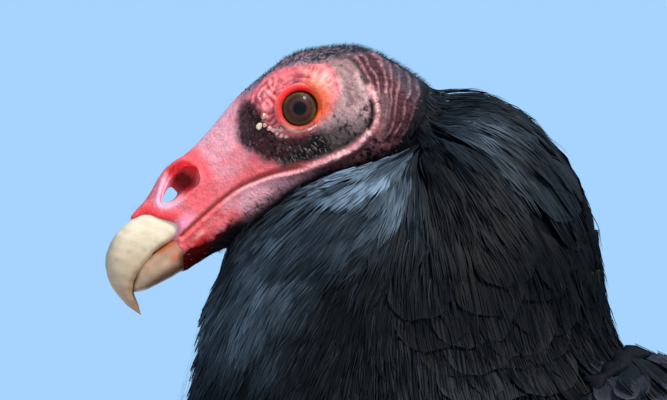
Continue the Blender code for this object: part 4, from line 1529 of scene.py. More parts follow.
def strip_template(aspect, cut):
    """Thin pointed strips along the vane, the barbs: the same four arrays as a sheet has."""
    count, barbs = len(aspect), cut.barbs
    lane = np.tile((np.arange(barbs) + 0.5) / barbs, 2)
    side = np.repeat((1.0, -1.0), barbs)[None, :, None]
    edge = vane_edge(lane, aspect, cut.rounded)
    edge = edge + cut.loose * (0.5 - np.abs(rng.normal(0, 1, edge.shape)))
    across = lane + cut.loose * rng.normal(0, 0.55, edge.shape) * (0.3 + lane)
    root = 0.04 + 0.22 * lane[None]
    first = rng.choice(cut.starts, edge.shape)[..., None]
    share = np.array((0, 0.34, 0.72, 1))
    t = first + (1 - first) * share
    x = across[..., None] * vane_width(t, cut.base)
    y = root[..., None] + (edge - root)[..., None] * t
    dx, dy = np.gradient(x, axis=2) * aspect[:, None, None], np.gradient(y, axis=2)
    size = np.sqrt(dx**2 + dy**2) + 1e-9
    half = cut.thick * (0.5 + 0.6 * share) * (1 - share**5)
    step_x, step_y = dy / size * half, -dx / size * half * aspect[:, None, None]
    lean = rng.normal(0, 1, (count, 2 * barbs, 1))
    edges_x = np.stack((x - step_x, x + step_x), axis=-1) * side[..., None]
    edges_y = np.stack((y - step_y, y + step_y), axis=-1)
    height = np.stack((0 * t + lean, 0 * t - lean), axis=-1) + 0.8 * lean[..., None] + 1.6
    whole = (edges_x, edges_y, np.stack((t, t), axis=-1), height * cut.ruffle)
    # a strip's tip is one point, so its second edge is dropped there
    strips = (values.reshape(count, 2 * barbs, 8)[..., :STRIP_POINTS] for values in whole)
    return tuple(values.reshape(count, -1) for values in strips)


def feather_points(paths, ups, half_widths, depths, lifts, camber, template):
    """The points of a template laid on each feather's path: roots sunk by depths, edges raised."""
    x, y, t, height = template
    centre = along_paths(paths, y)
    ahead = along_paths(paths, np.minimum(y + 0.02, 1)) - along_paths(paths, np.maximum(y - 0.02, 0))
    up = unit(along_paths(ups, y))
    sideways = unit(np.cross(up, ahead))
    width = half_widths[:, None]
    overshoot = np.maximum(y - 1, 0)[..., None] * (paths[:, -1] - paths[:, -2])[:, None] * paths.shape[1]
    rise = (width * 0.5 + 3) * height - camber * width * x**2
    rise = rise - depths[:, None] * np.clip(1 - t, 0, 1) ** 1.5 + lifts[:, None] * t**2
    return centre + overshoot + sideways * (x * width)[..., None] + up * rise[..., None]


SHAFT = ((0.02, 0.05), (0.35, 0.04), (0.7, 0.028), (0.95, 0.008))  # share along, half width


def shaft_template(count, raised):
    """A low three-sided ridge down the middle of each feather."""
    x, y, h = [], [], []
    for along, half in SHAFT:
        x += [-half, 0, half]
        y += [along] * 3
        h += [0.0, raised, 0.0]
    x, y, h = (np.broadcast_to(np.array(v, float), (count, len(v))) for v in (x, y, h))
    return x, y, y, h


def feather_faces(barbs, rows):
    """Four-sided and three-sided faces of one feather: its sheet, if it has one, strips and shaft."""
    quads, tris = [], []
    start = SHEET_COLUMNS * rows
    for i, j in np.ndindex(max(rows - 1, 0), SHEET_COLUMNS - 1):
        a = SHEET_COLUMNS * i + j
        quads.append((a, a + 1, a + SHEET_COLUMNS + 1, a + SHEET_COLUMNS))
    for strip in range(2 * barbs):
        order = 1 if strip < barbs else -1
        for a in (start, start + 2):
            quads.append((a, a + 1, a + 3, a + 2)[::order])
        tris.append((start + 4, start + 5, start + 6)[::order])
        start += STRIP_POINTS
    for k in range(len(SHAFT) - 1):
        a = start + 3 * k
        quads += [(a, a + 1, a + 4, a + 3), (a + 1, a + 2, a + 5, a + 4)]
    return np.array(quads), np.array(tris)


def repeated(faces, count, size):
    """The faces of count copies of a small mesh of size points."""
    return (faces[None] + (np.arange(count) * size)[:, None, None]).reshape(-1, faces.shape[1])


PIECE_TRIANGLES = 190000


def unwrap(points):
    """Places on an unwrap of the body: along it, and round it."""
    axis = np.interp(points[:, 1], [-40, 40, 120, 300, 540], [-40, -60, -150, -240, -300])
    along = (points[:, 1] + 80) / 660
    around = 0.5 + np.arctan2(points[:, 0], points[:, 2] - axis) / (2 * math.pi)
    return np.column_stack((0.01 + 0.98 * along, 0.01 + 0.98 * around))


@dataclass
class Cut:
    """How a kind of feather is cut: its strips, its closed vane if it has one, and its edge."""

    barbs: int  # strips on each side of the shaft
    rows: int = 0  # rows of the closed vane
    loose: float = 0.02  # how unevenly the strips end
    rounded: float = 1.1  # how round the vane's end is
    camber: float = 0.03
    base: float = 0.4  # width at the root over the full width
    ruffle: float = 0.004  # how much the strips stand up
    mottle: float = 0.015  # how much the strips differ in shade
    reach: float = 0.96  # how far the closed vane goes towards the edge

    def __post_init__(self):
        closed = self.rows > 0
        self.starts = (0.2, 0.35, 0.5, 0.65, 0.8) if closed else (0.0,)
        self.thick = (0.3 if closed else 0.72) / self.barbs
        self.shaft = 0.02 if closed else 0.05

    def templates(self, aspect):
        parts = [sheet_template(aspect, self)] if self.rows else []
        parts.append(strip_template(aspect, self))
        parts.append(shaft_template(len(aspect), self.shaft))
        return [np.concatenate(arrays, axis=1) for arrays in zip(*parts)]


def build_feathers(name, flock, cut, material, patch=0.003):
    """Joined meshes of feathers, each under the triangle limit.

    flock is a tuple: paths, ups, half widths, depths, lifts and shades of the feathers.
    """
    faces = feather_faces(cut.barbs, cut.rows)
    limit = PIECE_TRIANGLES // (2 * len(faces[0]) + len(faces[1]))
    starts = range(0, len(flock[0]), limit)
    pieces = []
    for part, start in enumerate(starts):
        some = [values[start : start + limit] for values in flock]
        obj = feather_piece(f"{name}_{part + 1}", some, cut, faces, patch)
        pieces.append(finish_piece(obj, material, "feathers"))
    return pieces


def feather_piece(name, flock, cut, faces, patch):
    """One mesh of feathers, with its UV map, shades and tips."""
    paths, ups, half_widths, depths, lifts, shades = flock
    span = np.linalg.norm(np.diff(paths, axis=1), axis=2).sum(axis=1)
    template = cut.templates(half_widths / span)
    points = feather_points(paths, ups, half_widths, depths, lifts, cut.camber, template)
    x, y, t, _ = template
    count, size = x.shape
    quads, tris = (repeated(some, count, size) for some in faces)
    obj = mesh_object(name, from_side(points.reshape(-1, 3)), quads, tris)
    spread = np.stack((y - 0.5, np.clip(x, -1, 1) / 2), axis=-1) * patch
    add_uv(obj, "OFBake", (unwrap(paths[:, 0])[:, None] + spread).reshape(-1, 2))
    strips = np.repeat(rng.normal(0, cut.mottle, (count, 2 * cut.barbs)), STRIP_POINTS, axis=1)
    speckle = np.zeros((count, size))
    first = SHEET_COLUMNS * cut.rows
    speckle[:, first : first + strips.shape[1]] = strips
    paint(obj, "shade", (shades[:, None] + speckle).ravel())
    paint(obj, "tip", smooth(0.72, 1.0, t).ravel())
    return obj


def feather_material(name, deep, pale, tip_dark, roughness, tip_tone=(0.02, 0.02, 0.024)):
    """Near-black vanes: the stored shade runs from deep to pale, and the tips go to tip_tone."""
    material, shader = plain_material(name, deep, roughness, Specular_IOR_Level=0.06, Sheen_Weight=0.012)
    shader.inputs["Sheen Roughness"].default_value = 0.5
    shader.inputs["Sheen Tint"].default_value = (0.5, 0.65, 0.9, 1)
    stored = attribute(material, "shade")
    tone = ramp(material, "tone", deep, pale, 0.0, 1.0)
    link(material, stored, "Fac", tone, "Fac")
    tips = attribute(material, "tip")
    share = material.node_tree.nodes.new("ShaderNodeMath")
    share.operation = "MULTIPLY"
    share.inputs[1].default_value = tip_dark
    link(material, tips, "Fac", share, 0)
    mix = material.node_tree.nodes.new("ShaderNodeMix")
    mix.data_type = "RGBA"
    link(material, share, "Value", mix, "Factor")
    link(material, tone, "Color", mix, "A")
    mix.inputs["B"].default_value = (*tip_tone, 1)
    link(material, mix, "Result", shader, "Base Color")
    add_bump(material, shader, texture(material, "noise", Scale=1800.0, Detail=2.0), "Fac", 0.00005)
    return material


# The edge of the feathers on the side of the neck and under the jaw: (back, up).
RUFF_EDGE = [(-60, -90), (-32, -75), (-26, -45), (-24, -36.5), (-18.5, -31.5), (-14.1, -28), (-10.3, -25.6)]
RUFF_EDGE += [(-5.8, -21.5), (0, -18.2), (7.2, -16.8), (16, -14.8), (22.6, -12.8), (26, -9.3), (28.2, -6.5)]
RUFF_EDGE += [(30.2, -2.6), (32.3, 3), (34.4, 9), (37, 30)]
# Painted highlights and shade on the ruff: (back, up, radius, by how much).
# The paler places are painted highlights; the darker ones are painted shade in the crease behind the jaw and
# low on the neck and the hump.
RUFF_LIGHT_AND_SHADE = [
    (12, -19, 9, 1.4), (19, -31, 9, 0.42), (-3, -30, 8, 0.16), (27, -19, 6, 0.25), (54, -11, 8, 0.24),
    (-11, -42, 9, 0.14), (-12, -54, 9, 0.10), (-19, -62, 12, 0.30), (69, -29, 9, 0.13), (8, -42, 8, 0.08),
    (27, -14.5, 6.5, -0.75), (16.5, -14.5, 3.5, -0.4), (12, -66, 20, -0.03), (52, -40, 16, -0.035),
    (62, -62, 20, -0.03), (78, -51, 14, -0.03),
]


def ruff_tone_and_light(points):
    """How pale the ruff is at each place, from 0 to 1: a dark base with painted highlights and shade, mottled
    at random.
    """
    tone = np.full(len(points), 0.018)
    for back, up, radius, amount in RUFF_LIGHT_AND_SHADE:
        tone += amount * bump_at(points[:, 1:], (back, up), radius)
    return tone * (1 + 0.7 * lattice(points / 6, 91)) + 0.015 * lattice(points / 11, 92)


def behind_edge(points):
    """How far inside the feathered part of the neck each point lies; negative on bare skin."""
    line = np.array(RUFF_EDGE, float)
    gap, _ = from_line(points[:, 1:], line)
    edge = np.interp(points[:, 1], line[:, 0], line[:, 1])
    return np.where((points[:, 2] < edge) | (points[:, 1] > 37), gap, -gap)


def edge_shift(points):
    """How much deeper the feathers start under the jaw than at the nape."""
    return smooth(8, -4, points[:, 1])


def above_jaw(points):
    """Whether each point lies on the bare face in front of the gape's corner."""
    there = to_head(from_side(points))
    below_bill = (there[:, 1] > 37) & (there[:, 2] > -15.5)
    return below_bill | ((there[:, 1] > 18) & (there[:, 2] > -9))


CREASE_DEPTH = 4.0  # how deep under the outermost surface a root in the crease may lie
SAME_PLACE = 0.8  # a root nearer than this to the outermost surface is on it
HUMP_CUT = Cut(28, rows=5, loose=0.12, base=0.5, ruffle=0.008, camber=0.03, mottle=0.01, reach=0.85)


def keeps_inside(paths):
    """Whether each path stays off the bare skin in front of the ruff's edge."""
    edges = np.stack([behind_edge(paths[:, k]) for k in range(paths.shape[1])])
    return edges.min(axis=0) > np.minimum(edges[0] - 0.5, 0.3)


def on_neck(p):
    """Whether each point of the side frame grows a feather of the ruff."""
    neck = (p[:, 1] < 112) & (p[:, 2] > -128) & (np.abs(p[:, 0]) < 75)
    neck &= (p[:, 1] < 90) | (p[:, 2] > -58) | (np.abs(p[:, 0]) < 34)
    start = 2.6 * edge_shift(p) - 2.0 * smooth(28, 32, p[:, 1])
    return neck & (behind_edge(p) > start) & ~above_jaw(p)


def ruff_roots(surface):
    """Roots on the outermost surface, and inside the crease behind the jaw."""
    points, normals = surface.scatter(TRIES["ruff"], on_neck)
    places, turned = surface.land(points, normals)
    near_places, _ = surface.land(points, normals, above=CREASE_DEPTH)
    in_crease = bump_at(points[:, 1:], (28, -14), 9) > 0.3
    in_crease &= np.linalg.norm(near_places - points, axis=1) < SAME_PLACE
    in_crease &= behind_edge(points) > 1.6
    outer = (np.linalg.norm(places - points, axis=1) < SAME_PLACE) | in_crease
    normals = np.where(in_crease[:, None], normals, turned)
    return points[outer], normals[outer]


def ruff_sizes(points):
    """How broad, how long and how near the wing's shoulder each feather is, from 0 to 1."""
    back, up = points[:, 1], points[:, 2]
    inside_edge = behind_edge(points)
    broad = smooth(8, 36, back + 0.25 * (up + 20) + 5 * lattice(points / 12, 71))
    broad = np.maximum(broad, smooth(-60, -105, up)) * smooth(6, 26, inside_edge)
    size = smooth(-2, 14, inside_edge + 4.5 * bump_at(points[:, 1:], (33, 1), 9))
    shoulder = (np.abs(points[:, 0]) > 34) * smooth(64, 74, back) * smooth(-58, -68, up)
    return np.maximum(broad, shoulder), size, shoulder


def ruff_flock(surface):
    """The feathers of the ruff, with how broad and how long each is."""
    points, normals = ruff_roots(surface)
    broad, size, shoulder = ruff_sizes(points)
    parting = bump_at(points[:, 1:], (26, -18), 14)
    spacing = (1.2 + 1.35 * size + 4.6 * broad) * (1 - 0.4 * parting) * (1 - 0.4 * shoulder)
    kept = thinned(points, spacing)
    points, normals, broad, size, shoulder = chosen(kept, points, normals, broad, size, shoulder)
    count = len(points)
    shorter = 1 - 0.35 * shoulder
    lengths = (7 + 15 * size + 11 * broad) * shorter * rng.uniform(0.85, 1.15, count)
    half_widths = (1.2 + 1.5 * size + 8.0 * broad) * shorter * rng.uniform(0.85, 1.15, count)
    lengths = lengths + 5 * bump_at(points[:, 1:], (28, -12), 9)
    paths, ups = trace(surface, points, normals, lengths, 5, lie_of_coat)
    depths = 0.3 + 2.0 * size + 1.3 * broad + 2.0 * shoulder
    lifts = rng.normal(0.1, 0.12 + 0.12 * (1 - broad), count) + 0.4 * (1 - broad)
    lifts = lifts * (1 - 0.9 * bump_at(points[:, 1:], (42, 4), 12)) + 0.05 * shoulder
    # each feather's shade takes the ruff's painted highlights and shade where its tip lies
    tone = ruff_tone_and_light(paths[:, -1]) * rng.uniform(0.3 + 0.2 * broad, 1.8 - 0.3 * broad)
    shades = np.clip(tone + 0.05 * shoulder + 0.008 * rng.normal(0, 1, count), 0, 1)
    tidy = (steady(paths) | (broad < 0.5)) & keeps_inside(paths)
    flock = chosen(tidy, paths, ups, half_widths, depths, lifts, shades)
    return flock, broad[tidy], size[tidy]


def build_ruff(surface):
    """Neck feathers: narrow and loose on the throat, broad and rounded over the hump."""
    flock, broad, size = ruff_flock(surface)
    tones = (colour(2, 3, 5), colour(98, 114, 128))
    # the ruff's feathers darken towards tip_tone at their ends: painted shade in the crevices where one
    # feather lies over the next
    tip_tone = (0.006, 0.007, 0.009)
    material = feather_material("ruff_feather", *tones, tip_dark=0.25, roughness=0.55, tip_tone=tip_tone)
    narrow, wide = broad < 0.3, broad >= 0.7
    small = narrow & (size < 0.5)
    for name, some, cut in (
        ("edge_feathers", small, Cut(4, loose=0.15, camber=0.1, base=0.3, ruffle=0.014)),
        ("throat_feathers", narrow & ~small, Cut(8, loose=0.16, camber=0.1, base=0.2, ruffle=0.012)),
        ("neck_feathers", ~narrow & ~wide, Cut(11, loose=0.1, base=0.3, ruffle=0.008, camber=0.06)),
        ("hump_feathers", wide, HUMP_CUT),
    ):
        build_feathers(name, chosen(some, *flock), cut, material)
    build_strands(surface, material)


def on_throat(p):
    return (p[:, 1] < 40) & (p[:, 2] > -100) & (behind_edge(p) > -0.5) & ~above_jaw(p)


def build_strands(surface, material):
    """Fine loose strands lying over the throat."""
    points, normals = surface.scatter(TRIES["strands"], on_throat)
    places, normals = surface.land(points, normals)
    outer = np.linalg.norm(places - points, axis=1) < SAME_PLACE
    points, normals = chosen(outer, points, normals)
    count = len(points)
    lengths = rng.uniform(5, 13, count)
    paths, ups = trace(surface, points, normals, lengths, 4, lie_of_coat)
    sideways = np.cross(ups, unit(np.gradient(paths, axis=1)))
    sway = np.cumsum(rng.normal(0, 0.25, (count, 5)), axis=1)[..., None] * sideways
    height = np.linspace(0.1, 1, 5)[None] * rng.uniform(0.4, 1.3, (count, 1))
    paths = paths + sway + ups * height[..., None]
    # the strands take the ruff's painted highlights and shade as well
    shade = ruff_tone_and_light(points) * rng.uniform(0.3, 1.8, count) + rng.normal(0.0, 0.08, count)
    build_hairs("throat_strands", paths, ups, 0.09, material, np.clip(shade, 0, 1))


# ---------------------------------------------------------------- hairs and bristles


def build_hairs(name, paths, ups, half_width, material, shade, patch=0.003):
    """One mesh of thin blades along paths (n, k, 3) of the side frame."""
    count, steps = paths.shape[:2]
    across = unit(np.cross(ups, np.gradient(paths, axis=1)))
    taper = np.linspace(1, 0.5, steps - 1)[None, :, None] * np.reshape(half_width, (-1, 1, 1))
    left, right = paths[:, :-1] - across[:, :-1] * taper, paths[:, :-1] + across[:, :-1] * taper
    pairs = np.stack((left, right), axis=2).reshape(count, -1, 3)
    points = np.concatenate((pairs, paths[:, -1:]), axis=1)
    size = points.shape[1]
    quads = np.array([(2 * k, 2 * k + 1, 2 * k + 3, 2 * k + 2) for k in range(steps - 2)])
    tris = np.array([(size - 3, size - 2, size - 1)])
    quads, tris = repeated(quads, count, size), repeated(tris, count, size)
    obj = mesh_object(name, from_side(points.reshape(-1, 3)), quads, tris)
    along = np.append(np.repeat(np.linspace(-0.5, 0.4, steps - 1), 2), 0.5)
    sideways = np.append(np.tile((-0.5, 0.5), steps - 1), 0)
    root = unwrap(paths[:, 0])[:, None]
    add_uv(obj, "OFBake", (root + np.column_stack((along, sideways))[None] * patch).reshape(-1, 2))
    paint(obj, "shade", np.repeat(shade, size))
    paint(obj, "tip", np.zeros(count * size))
    finish_piece(obj, material, "feathers")


BRISTLE_DARK, BRISTLE_PALE = colour(14, 12, 13), colour(190, 168, 150)


class BristlePlaces:
    """Roots of bristles, with how much each belongs to the crown, cheek, lores, folds, ear and chin."""

    def __init__(self, points, normals):
        self.points, self.normals = points, normals
        self.there = to_head(from_side(points))
        self.flat = flat = drawn(self.there)
        self.ridge, self.strength = nape_folds(self.there)
        self.crown, self.cheek = crown_share(self.there, flat), inside(flat, CHEEK, 1.6)
        self.lore = inside(flat, LORE_PATCH, 1.0)
        gap, _ = from_curve(flat, EAR_SLIT)
        self.ear = bell(gap, 0, 1.6)
        edge = -behind_edge(points)
        self.chin = (1 - smooth(0.5, 4.5, edge)) * (flat[:, 0] > 2) * (flat[:, 0] < 42)

    def density(self):
        """The chance that a bristle grows at each root."""
        far, _ = around_eye(self.flat)
        open_skin = smooth(5.6, 7.5, far) * (ahead_of_horn(self.flat) < -1.0)
        low = smooth(-0.5, -7.5, 0.77 * self.flat[:, 1] - 0.64 * self.flat[:, 0])
        fold = 0.6 * self.strength * (1 - 0.6 * self.ridge)
        cheek = (0.3 + 0.25 * low) * self.cheek
        parts = (0.8 * self.crown, fold, cheek, self.lore, self.ear, 0.5 * self.chin, 0.07 + 0 * far)
        return np.maximum.reduce(parts) * 0.8 * open_skin

    def keep(self, picked):
        for name, values in vars(self).items():
            setattr(self, name, values[picked])

    def lengths(self):
        hind_crown = self.crown * (0.2 + 1.0 * smooth(6, -10, self.flat[:, 0]))
        length = 0.55 + hind_crown + 0.7 * self.lore + 0.5 * self.strength
        length = length + 1.3 * self.ear + 1.6 * self.chin + 0.15 * self.cheek
        return length * rng.uniform(0.6, 1.3, len(self.points))

    def paths(self, length):
        """A bent line of three points for each bristle."""
        count, points, normals = len(self.points), self.points, self.normals
        back = unit(np.array((0, 0.86, -0.5)) + 0.38 * rng.normal(0, 1, (count, 3)))
        back = unit(back - normals * np.sum(back * normals, axis=1, keepdims=True))
        rise = np.radians(rng.uniform(24, 52, count))[:, None]
        mid = points + length[:, None] * 0.55 * (np.cos(rise) * back + np.sin(rise) * normals)
        lean = 0.6 * rise
        end = mid + length[:, None] * 0.5 * (np.cos(lean) * back + np.sin(lean) * normals)
        return np.stack((points - 0.15 * normals, mid, end), axis=1)

    def shades(self):
        """Dark, and pale for a share of them that differs from place to place."""
        bare = 1 - np.maximum.reduce((self.crown, self.cheek, self.lore, self.strength, self.chin))
        pale = 0.25 * self.crown * smooth(-22, -12, self.there[:, 1]) + 0.12 * self.lore
        pale = pale + 0.16 * self.cheek + 0.06 * self.strength + 0.75 * smooth(0.3, 0.8, bare)
        count = len(self.points)
        return np.clip((rng.random(count) < pale) * rng.uniform(0.2, 0.75, count), 0, 1)


def build_bristles(head):
    """Short bristles over the crown, nape, lores and cheeks, and a few pale hairs elsewhere."""
    surface = Surface.of_object(head)
    roots = surface.scatter(TRIES["bristles"], lambda p: (behind_edge(p) < 2.5) & (p[:, 1] < 44))
    places = BristlePlaces(*roots)
    chance = rng.random(len(places.points))
    places.keep((chance < places.density()) & ~inside_nostril(places.flat))
    paths = places.paths(places.lengths())
    ups = np.stack((places.normals,) * 3, axis=1)
    shades = places.shades()
    material = feather_material("bristle", BRISTLE_DARK, BRISTLE_PALE, tip_dark=0.0, roughness=0.5)
    width = 0.05 + 0.03 * places.crown + 0.02 * places.lore
    build_hairs("bristles", paths, ups, width, material, shades)


def inside_nostril(flat):
    return inside(flat, NOSTRIL_RIM, 0.6) > 0.2


def grow_feathers(name, surface, roots, sizes, heading, tone, cut, material, steps=5, keep=None):
    """Feathers from roots (points and directions), laid over a surface.

    sizes are the lengths, half widths, depth of the roots and lift of the tips, and vary a little
    from feather to feather; tone is the middle and the spread of their shades.
    """
    points, normals = roots
    count = len(points)
    lengths, half_widths, depth, lift = sizes
    lengths = lengths * rng.uniform(0.86, 1.14, count)
    half_widths = half_widths * rng.uniform(0.88, 1.12, count)
    lifts = rng.normal(lift, 0.3, count)
    paths, ups = trace(surface, points, normals, lengths, steps, heading)
    shades = np.clip(rng.normal(*tone, count), 0, 1)
    flock = (paths, ups, half_widths, np.full(count, depth), lifts, shades)
    if keep:
        flock = chosen(keep(paths), *flock)
    build_feathers(name, flock, cut, material)


def spaced(points, normals, spacing):
    """Those of the roots that stand at least spacing apart."""
    return chosen(thinned(points, np.full(len(points), spacing)), points, normals)


def build_body_coat(surface, wings):
    """Rounded feathers over breast, back, belly and rump, where no wing covers them."""

    def off_neck(p):
        return ((p[:, 1] >= 106) | (p[:, 2] <= -122)) & (p[:, 1] > -60)

    def covered(point, normal):
        return wings.tree.ray_cast(Vector(point + normal * 0.2), Vector(normal), 70)[0] is not None

    points, normals = surface.scatter(TRIES["body"], off_neck)
    bare = np.array([not covered(point, normal) for point, normal in zip(points, normals)])
    roots = spaced(points[bare], normals[bare], 9.5)
    rump = smooth(150, 300, roots[0][:, 1])
    sizes = (34 + 8 * rump, 11.5 - 1.5 * rump, 4.0, 0.3)
    tones = (colour(8, 9, 12), colour(42, 45, 52))
    material = feather_material("body_feather", *tones, tip_dark=0.3, roughness=0.55)
    cut = Cut(16, rows=6, loose=0.03, base=0.45)
    grow_feathers("body_feathers", surface, roots, sizes, lie_of_coat, (0.22, 0.12), cut, material)


def wing_heading(points):
    """Along the folded wing, from the shoulder to the tip."""
    rows = fine(WING, 6)
    middle_line = (rows[:, 1:3] + rows[:, 4:6]) / 2
    run = unit(np.gradient(middle_line, axis=0))
    nearest = np.argmin(np.linalg.norm(points[:, None, 1:] - middle_line[None], axis=2), axis=1)
    heading = unit(0.6 * run[nearest] + 0.4 * np.array((0.9, -0.43)))
    return np.column_stack((np.zeros(len(points)), heading))


MARGINAL_WIDTH = 32  # the smallest coverts lie within this of the wing's front edge
COVERTS_FROM = 24  # the larger ones start this far behind it
VANE_STEPS = np.linspace(0, 1, 9)[None]  # shares of the way along a long vane
FLIGHT_CUT = Cut(40, rows=12, loose=0.006, rounded=0.9, camber=0.012, base=0.6, ruffle=0.002)


def build_coverts(name, surface, points, normals, gap, material):
    """The rounded feathers over the front of the folded wing, with the smallest along its edge."""
    edge = gap < MARGINAL_WIDTH
    roots = spaced(points[edge], normals[edge], 4.2)
    cut = Cut(12, rows=4, loose=0.03, camber=0.05, base=0.35, ruffle=0.004)
    rest = (wing_heading, (0.45, 0.14), cut, material)
    grow_feathers(f"marginal_coverts_{name}", surface, roots, (20, 5.2, 6.0, 0.7), *rest, keep=steady)

    near_shoulder = 1 - smooth(60, 230, points[:, 1])
    small = 1 - smooth(4, 38, gap)
    kept = thinned(points, 10.5 - 5.0 * near_shoulder)
    kept = kept[gap[kept] > COVERTS_FROM]
    points, normals, near_shoulder, small = chosen(kept, points, normals, near_shoulder, small)
    lengths, half_widths = 44 - 14 * near_shoulder - 6 * small, 13 - 3.5 * near_shoulder - 1.5 * small
    sizes = (lengths, half_widths, 3.0, 2.2)
    rest = (wing_heading, (0.4, 0.14), Cut(16, rows=6, loose=0.012, base=0.55), material)
    grow_feathers(f"coverts_{name}", surface, (points, normals), sizes, *rest, steps=6)


def build_vanes(name, paths, ups, half_width, shades, material):
    """Long vanes of the wing or the tail, all of one width or each of its own."""
    widths = np.broadcast_to(half_width, len(paths)).astype(float)
    flock = (paths, ups, widths, 0 * widths, 0 * widths, rng.uniform(*shades, len(paths)))
    return build_feathers(name, flock, FLIGHT_CUT, material, 0.02)


# The long feathers of the wing: kind, how many, shares of the chord of the first and the last,
# stations of the first and the last tip, station of the roots, half width, and height of the last.
FLIGHT_FEATHERS = (
    ("secondaries", 14, 0.96, 0.06, 6.0, 7.4, 3.9, 15.0, 0.0),
    ("primaries", 8, 0.86, 0.2, 8.2, 9.9, 5.0, 11.5, -2.6),
)


def build_wing(name, side, material):
    rings = 260
    grid = wing_grid(rings, 60, side)
    surface = Surface.of_grids([(grid[: int(rings * COVERTS_STATION / (len(WING) - 1))], False)])
    points, normals = surface.scatter(TRIES["coverts"], lambda p: p[:, 1] < 262 - 0.2 * (p[:, 2] + 220))
    normals *= np.sign(normals[:, :1]) * side
    gap, _ = from_line(points[:, 1:], grid[0, :, 1:])
    build_coverts(name, Surface.of_grids([(grid, False)]), points, normals, gap, material)

    for kind, count, first, last, tip_first, tip_last, root, half_width, top in FLIGHT_FEATHERS:
        order = np.linspace(0, 1, count)[:, None]
        share = first + (last - first) * order
        tip = tip_first + (tip_last - tip_first) * np.sin(order * math.pi / 2)
        station = root + (tip - root) * VANE_STEPS
        closer = share + (0.5 - share) * 0.45 * VANE_STEPS**2
        height = top + 1.6 * order + 0.5 * np.sin(math.pi * VANE_STEPS)
        paths, ups = wing_points(station, closer, side, height)
        pieces = build_vanes(f"{kind}_vanes_{name}", paths, unit(ups), half_width, (0.2, 0.5), material)
        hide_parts(f"{kind}_{name}")


def build_tertials(material):
    """Long inner feathers that close the gap between the two folded wings."""
    order = np.arange(8)[:, None]
    station = 3.9 + 0.24 * order + 2.0 * VANE_STEPS
    left, right = (wing_points(station, 0.04 + 0 * station, side, 0.5)[0] for side in (-1, 1))
    paths = left + (right - left) * (0.5 + 0.2 * (-1.0) ** order)[..., None]
    paths[..., 2] += 1.5 - 0.3 * order
    ups = unit(np.cross(unit(np.gradient(paths, axis=1)), (-1, 0, 0)))
    ups = ups * np.sign(ups[..., 2:])
    half_widths = np.abs(right - left)[:, 4, 0] * 0.3 + 7
    build_vanes("tertials", paths, ups, half_widths, (0.2, 0.5), material)


def tail_paths(count, layer, trim):
    """Tail feathers side by side, the middle ones on top."""
    across = np.linspace(-1, 1, count)[:, None]
    share = VANE_STEPS
    root, half_way, tip = TAIL_HALF_WIDTHS
    width = np.where(
        share < 0.5,
        root + (half_way - root) * np.sin(math.pi * share),
        half_way + (tip - half_way) * np.sin(math.pi * (share - 0.5)),
    )
    length = TAIL_LENGTH * trim * share * (1 - 0.075 * across**2)
    lift = -TAIL_ARCH * across**2 + 1.6 * (1 - np.abs(across)) + layer
    side = across * width * 0.86
    sine, cosine = math.sin(TAIL_SLOPE), math.cos(TAIL_SLOPE)
    back = TAIL_ROOT[0] + length * cosine + lift * sine
    up = TAIL_ROOT[1] - length * sine + lift * cosine
    paths = np.stack((side + 0 * share, back, up), axis=-1)
    tilt = np.stack((0.25 * across + 0 * share, 0 * back, 0 * back), axis=-1)
    return paths, unit(np.broadcast_to((0, sine, cosine), paths.shape) + tilt)


def build_tail(material):
    for name, count, layer, trim, half_width in (
        ("tail_feathers", 12, 0.0, 1.0, 13.0),
        ("upper_tail_coverts", 9, 3.5, 0.42, 12.0),
        ("under_tail_coverts", 9, -4.0, 0.5, 12.0),
    ):
        paths, ups = tail_paths(count, layer, trim)
        pieces = build_vanes(name, paths, ups, half_width, (0.15, 0.45), material)
        if name == "tail_feathers":
            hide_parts("tail")


def downwards(points):
    """The heading of the thigh's feathers."""
    return np.tile((0.0, 0.42, -0.9), (len(points), 1))


def build_thighs():
    hock = HOCK[2] - EYE_HEIGHT
    tones = (colour(9, 10, 12), colour(36, 37, 42))
    material = feather_material("thigh_feather", *tones, tip_dark=0.3, roughness=0.6)
    cut = Cut(11, loose=0.09, camber=0.08, base=0.3, ruffle=0.01)

    def above_hock(p):
        return (p[:, 2] < -225) & (p[:, 2] > hock + 5)

    def even(paths):
        return steady(paths) & (paths[:, -1, 2] > hock - 7)

    for name, side in SIDES.items():
        own = Surface.of_grids([(thigh_rings(side), True)])
        points, normals = own.scatter(TRIES["thighs"], above_hock)
        outward = points - np.array((side * 38, 130, 0))
        normals *= np.sign(np.sum(normals[:, :2] * outward[:, :2], axis=1))[:, None]
        roots = spaced(points, normals, 6.0)
        low = smooth(-240, -285, roots[0][:, 2])
        sizes = (30 - 16 * low, 8 - 3 * low, 2.6, 0.4)
        rest = (downwards, (0.25, 0.12), cut, material)
        grow_feathers(f"thigh_feathers_{name}", own, roots, sizes, *rest, steps=4, keep=even)


# ---------------------------------------------------------------- legs and feet

TOES = {
    "inner": (math.radians(24), 44.0),
    "middle": (math.radians(-3), 62.0),
    "outer": (math.radians(-30), 50.0),
    "hind": (math.radians(158), 25.0),
}
TOE_RADIUS, CLAW_LENGTH, CLAW_RADIUS = 5.2, 13.0, 2.7
LEG_COLUMNS, CLAW_COLUMNS = 72, 32
LEG_PINK = colour(196, 160, 146)
LEG_DIRT = colour(118, 96, 84)


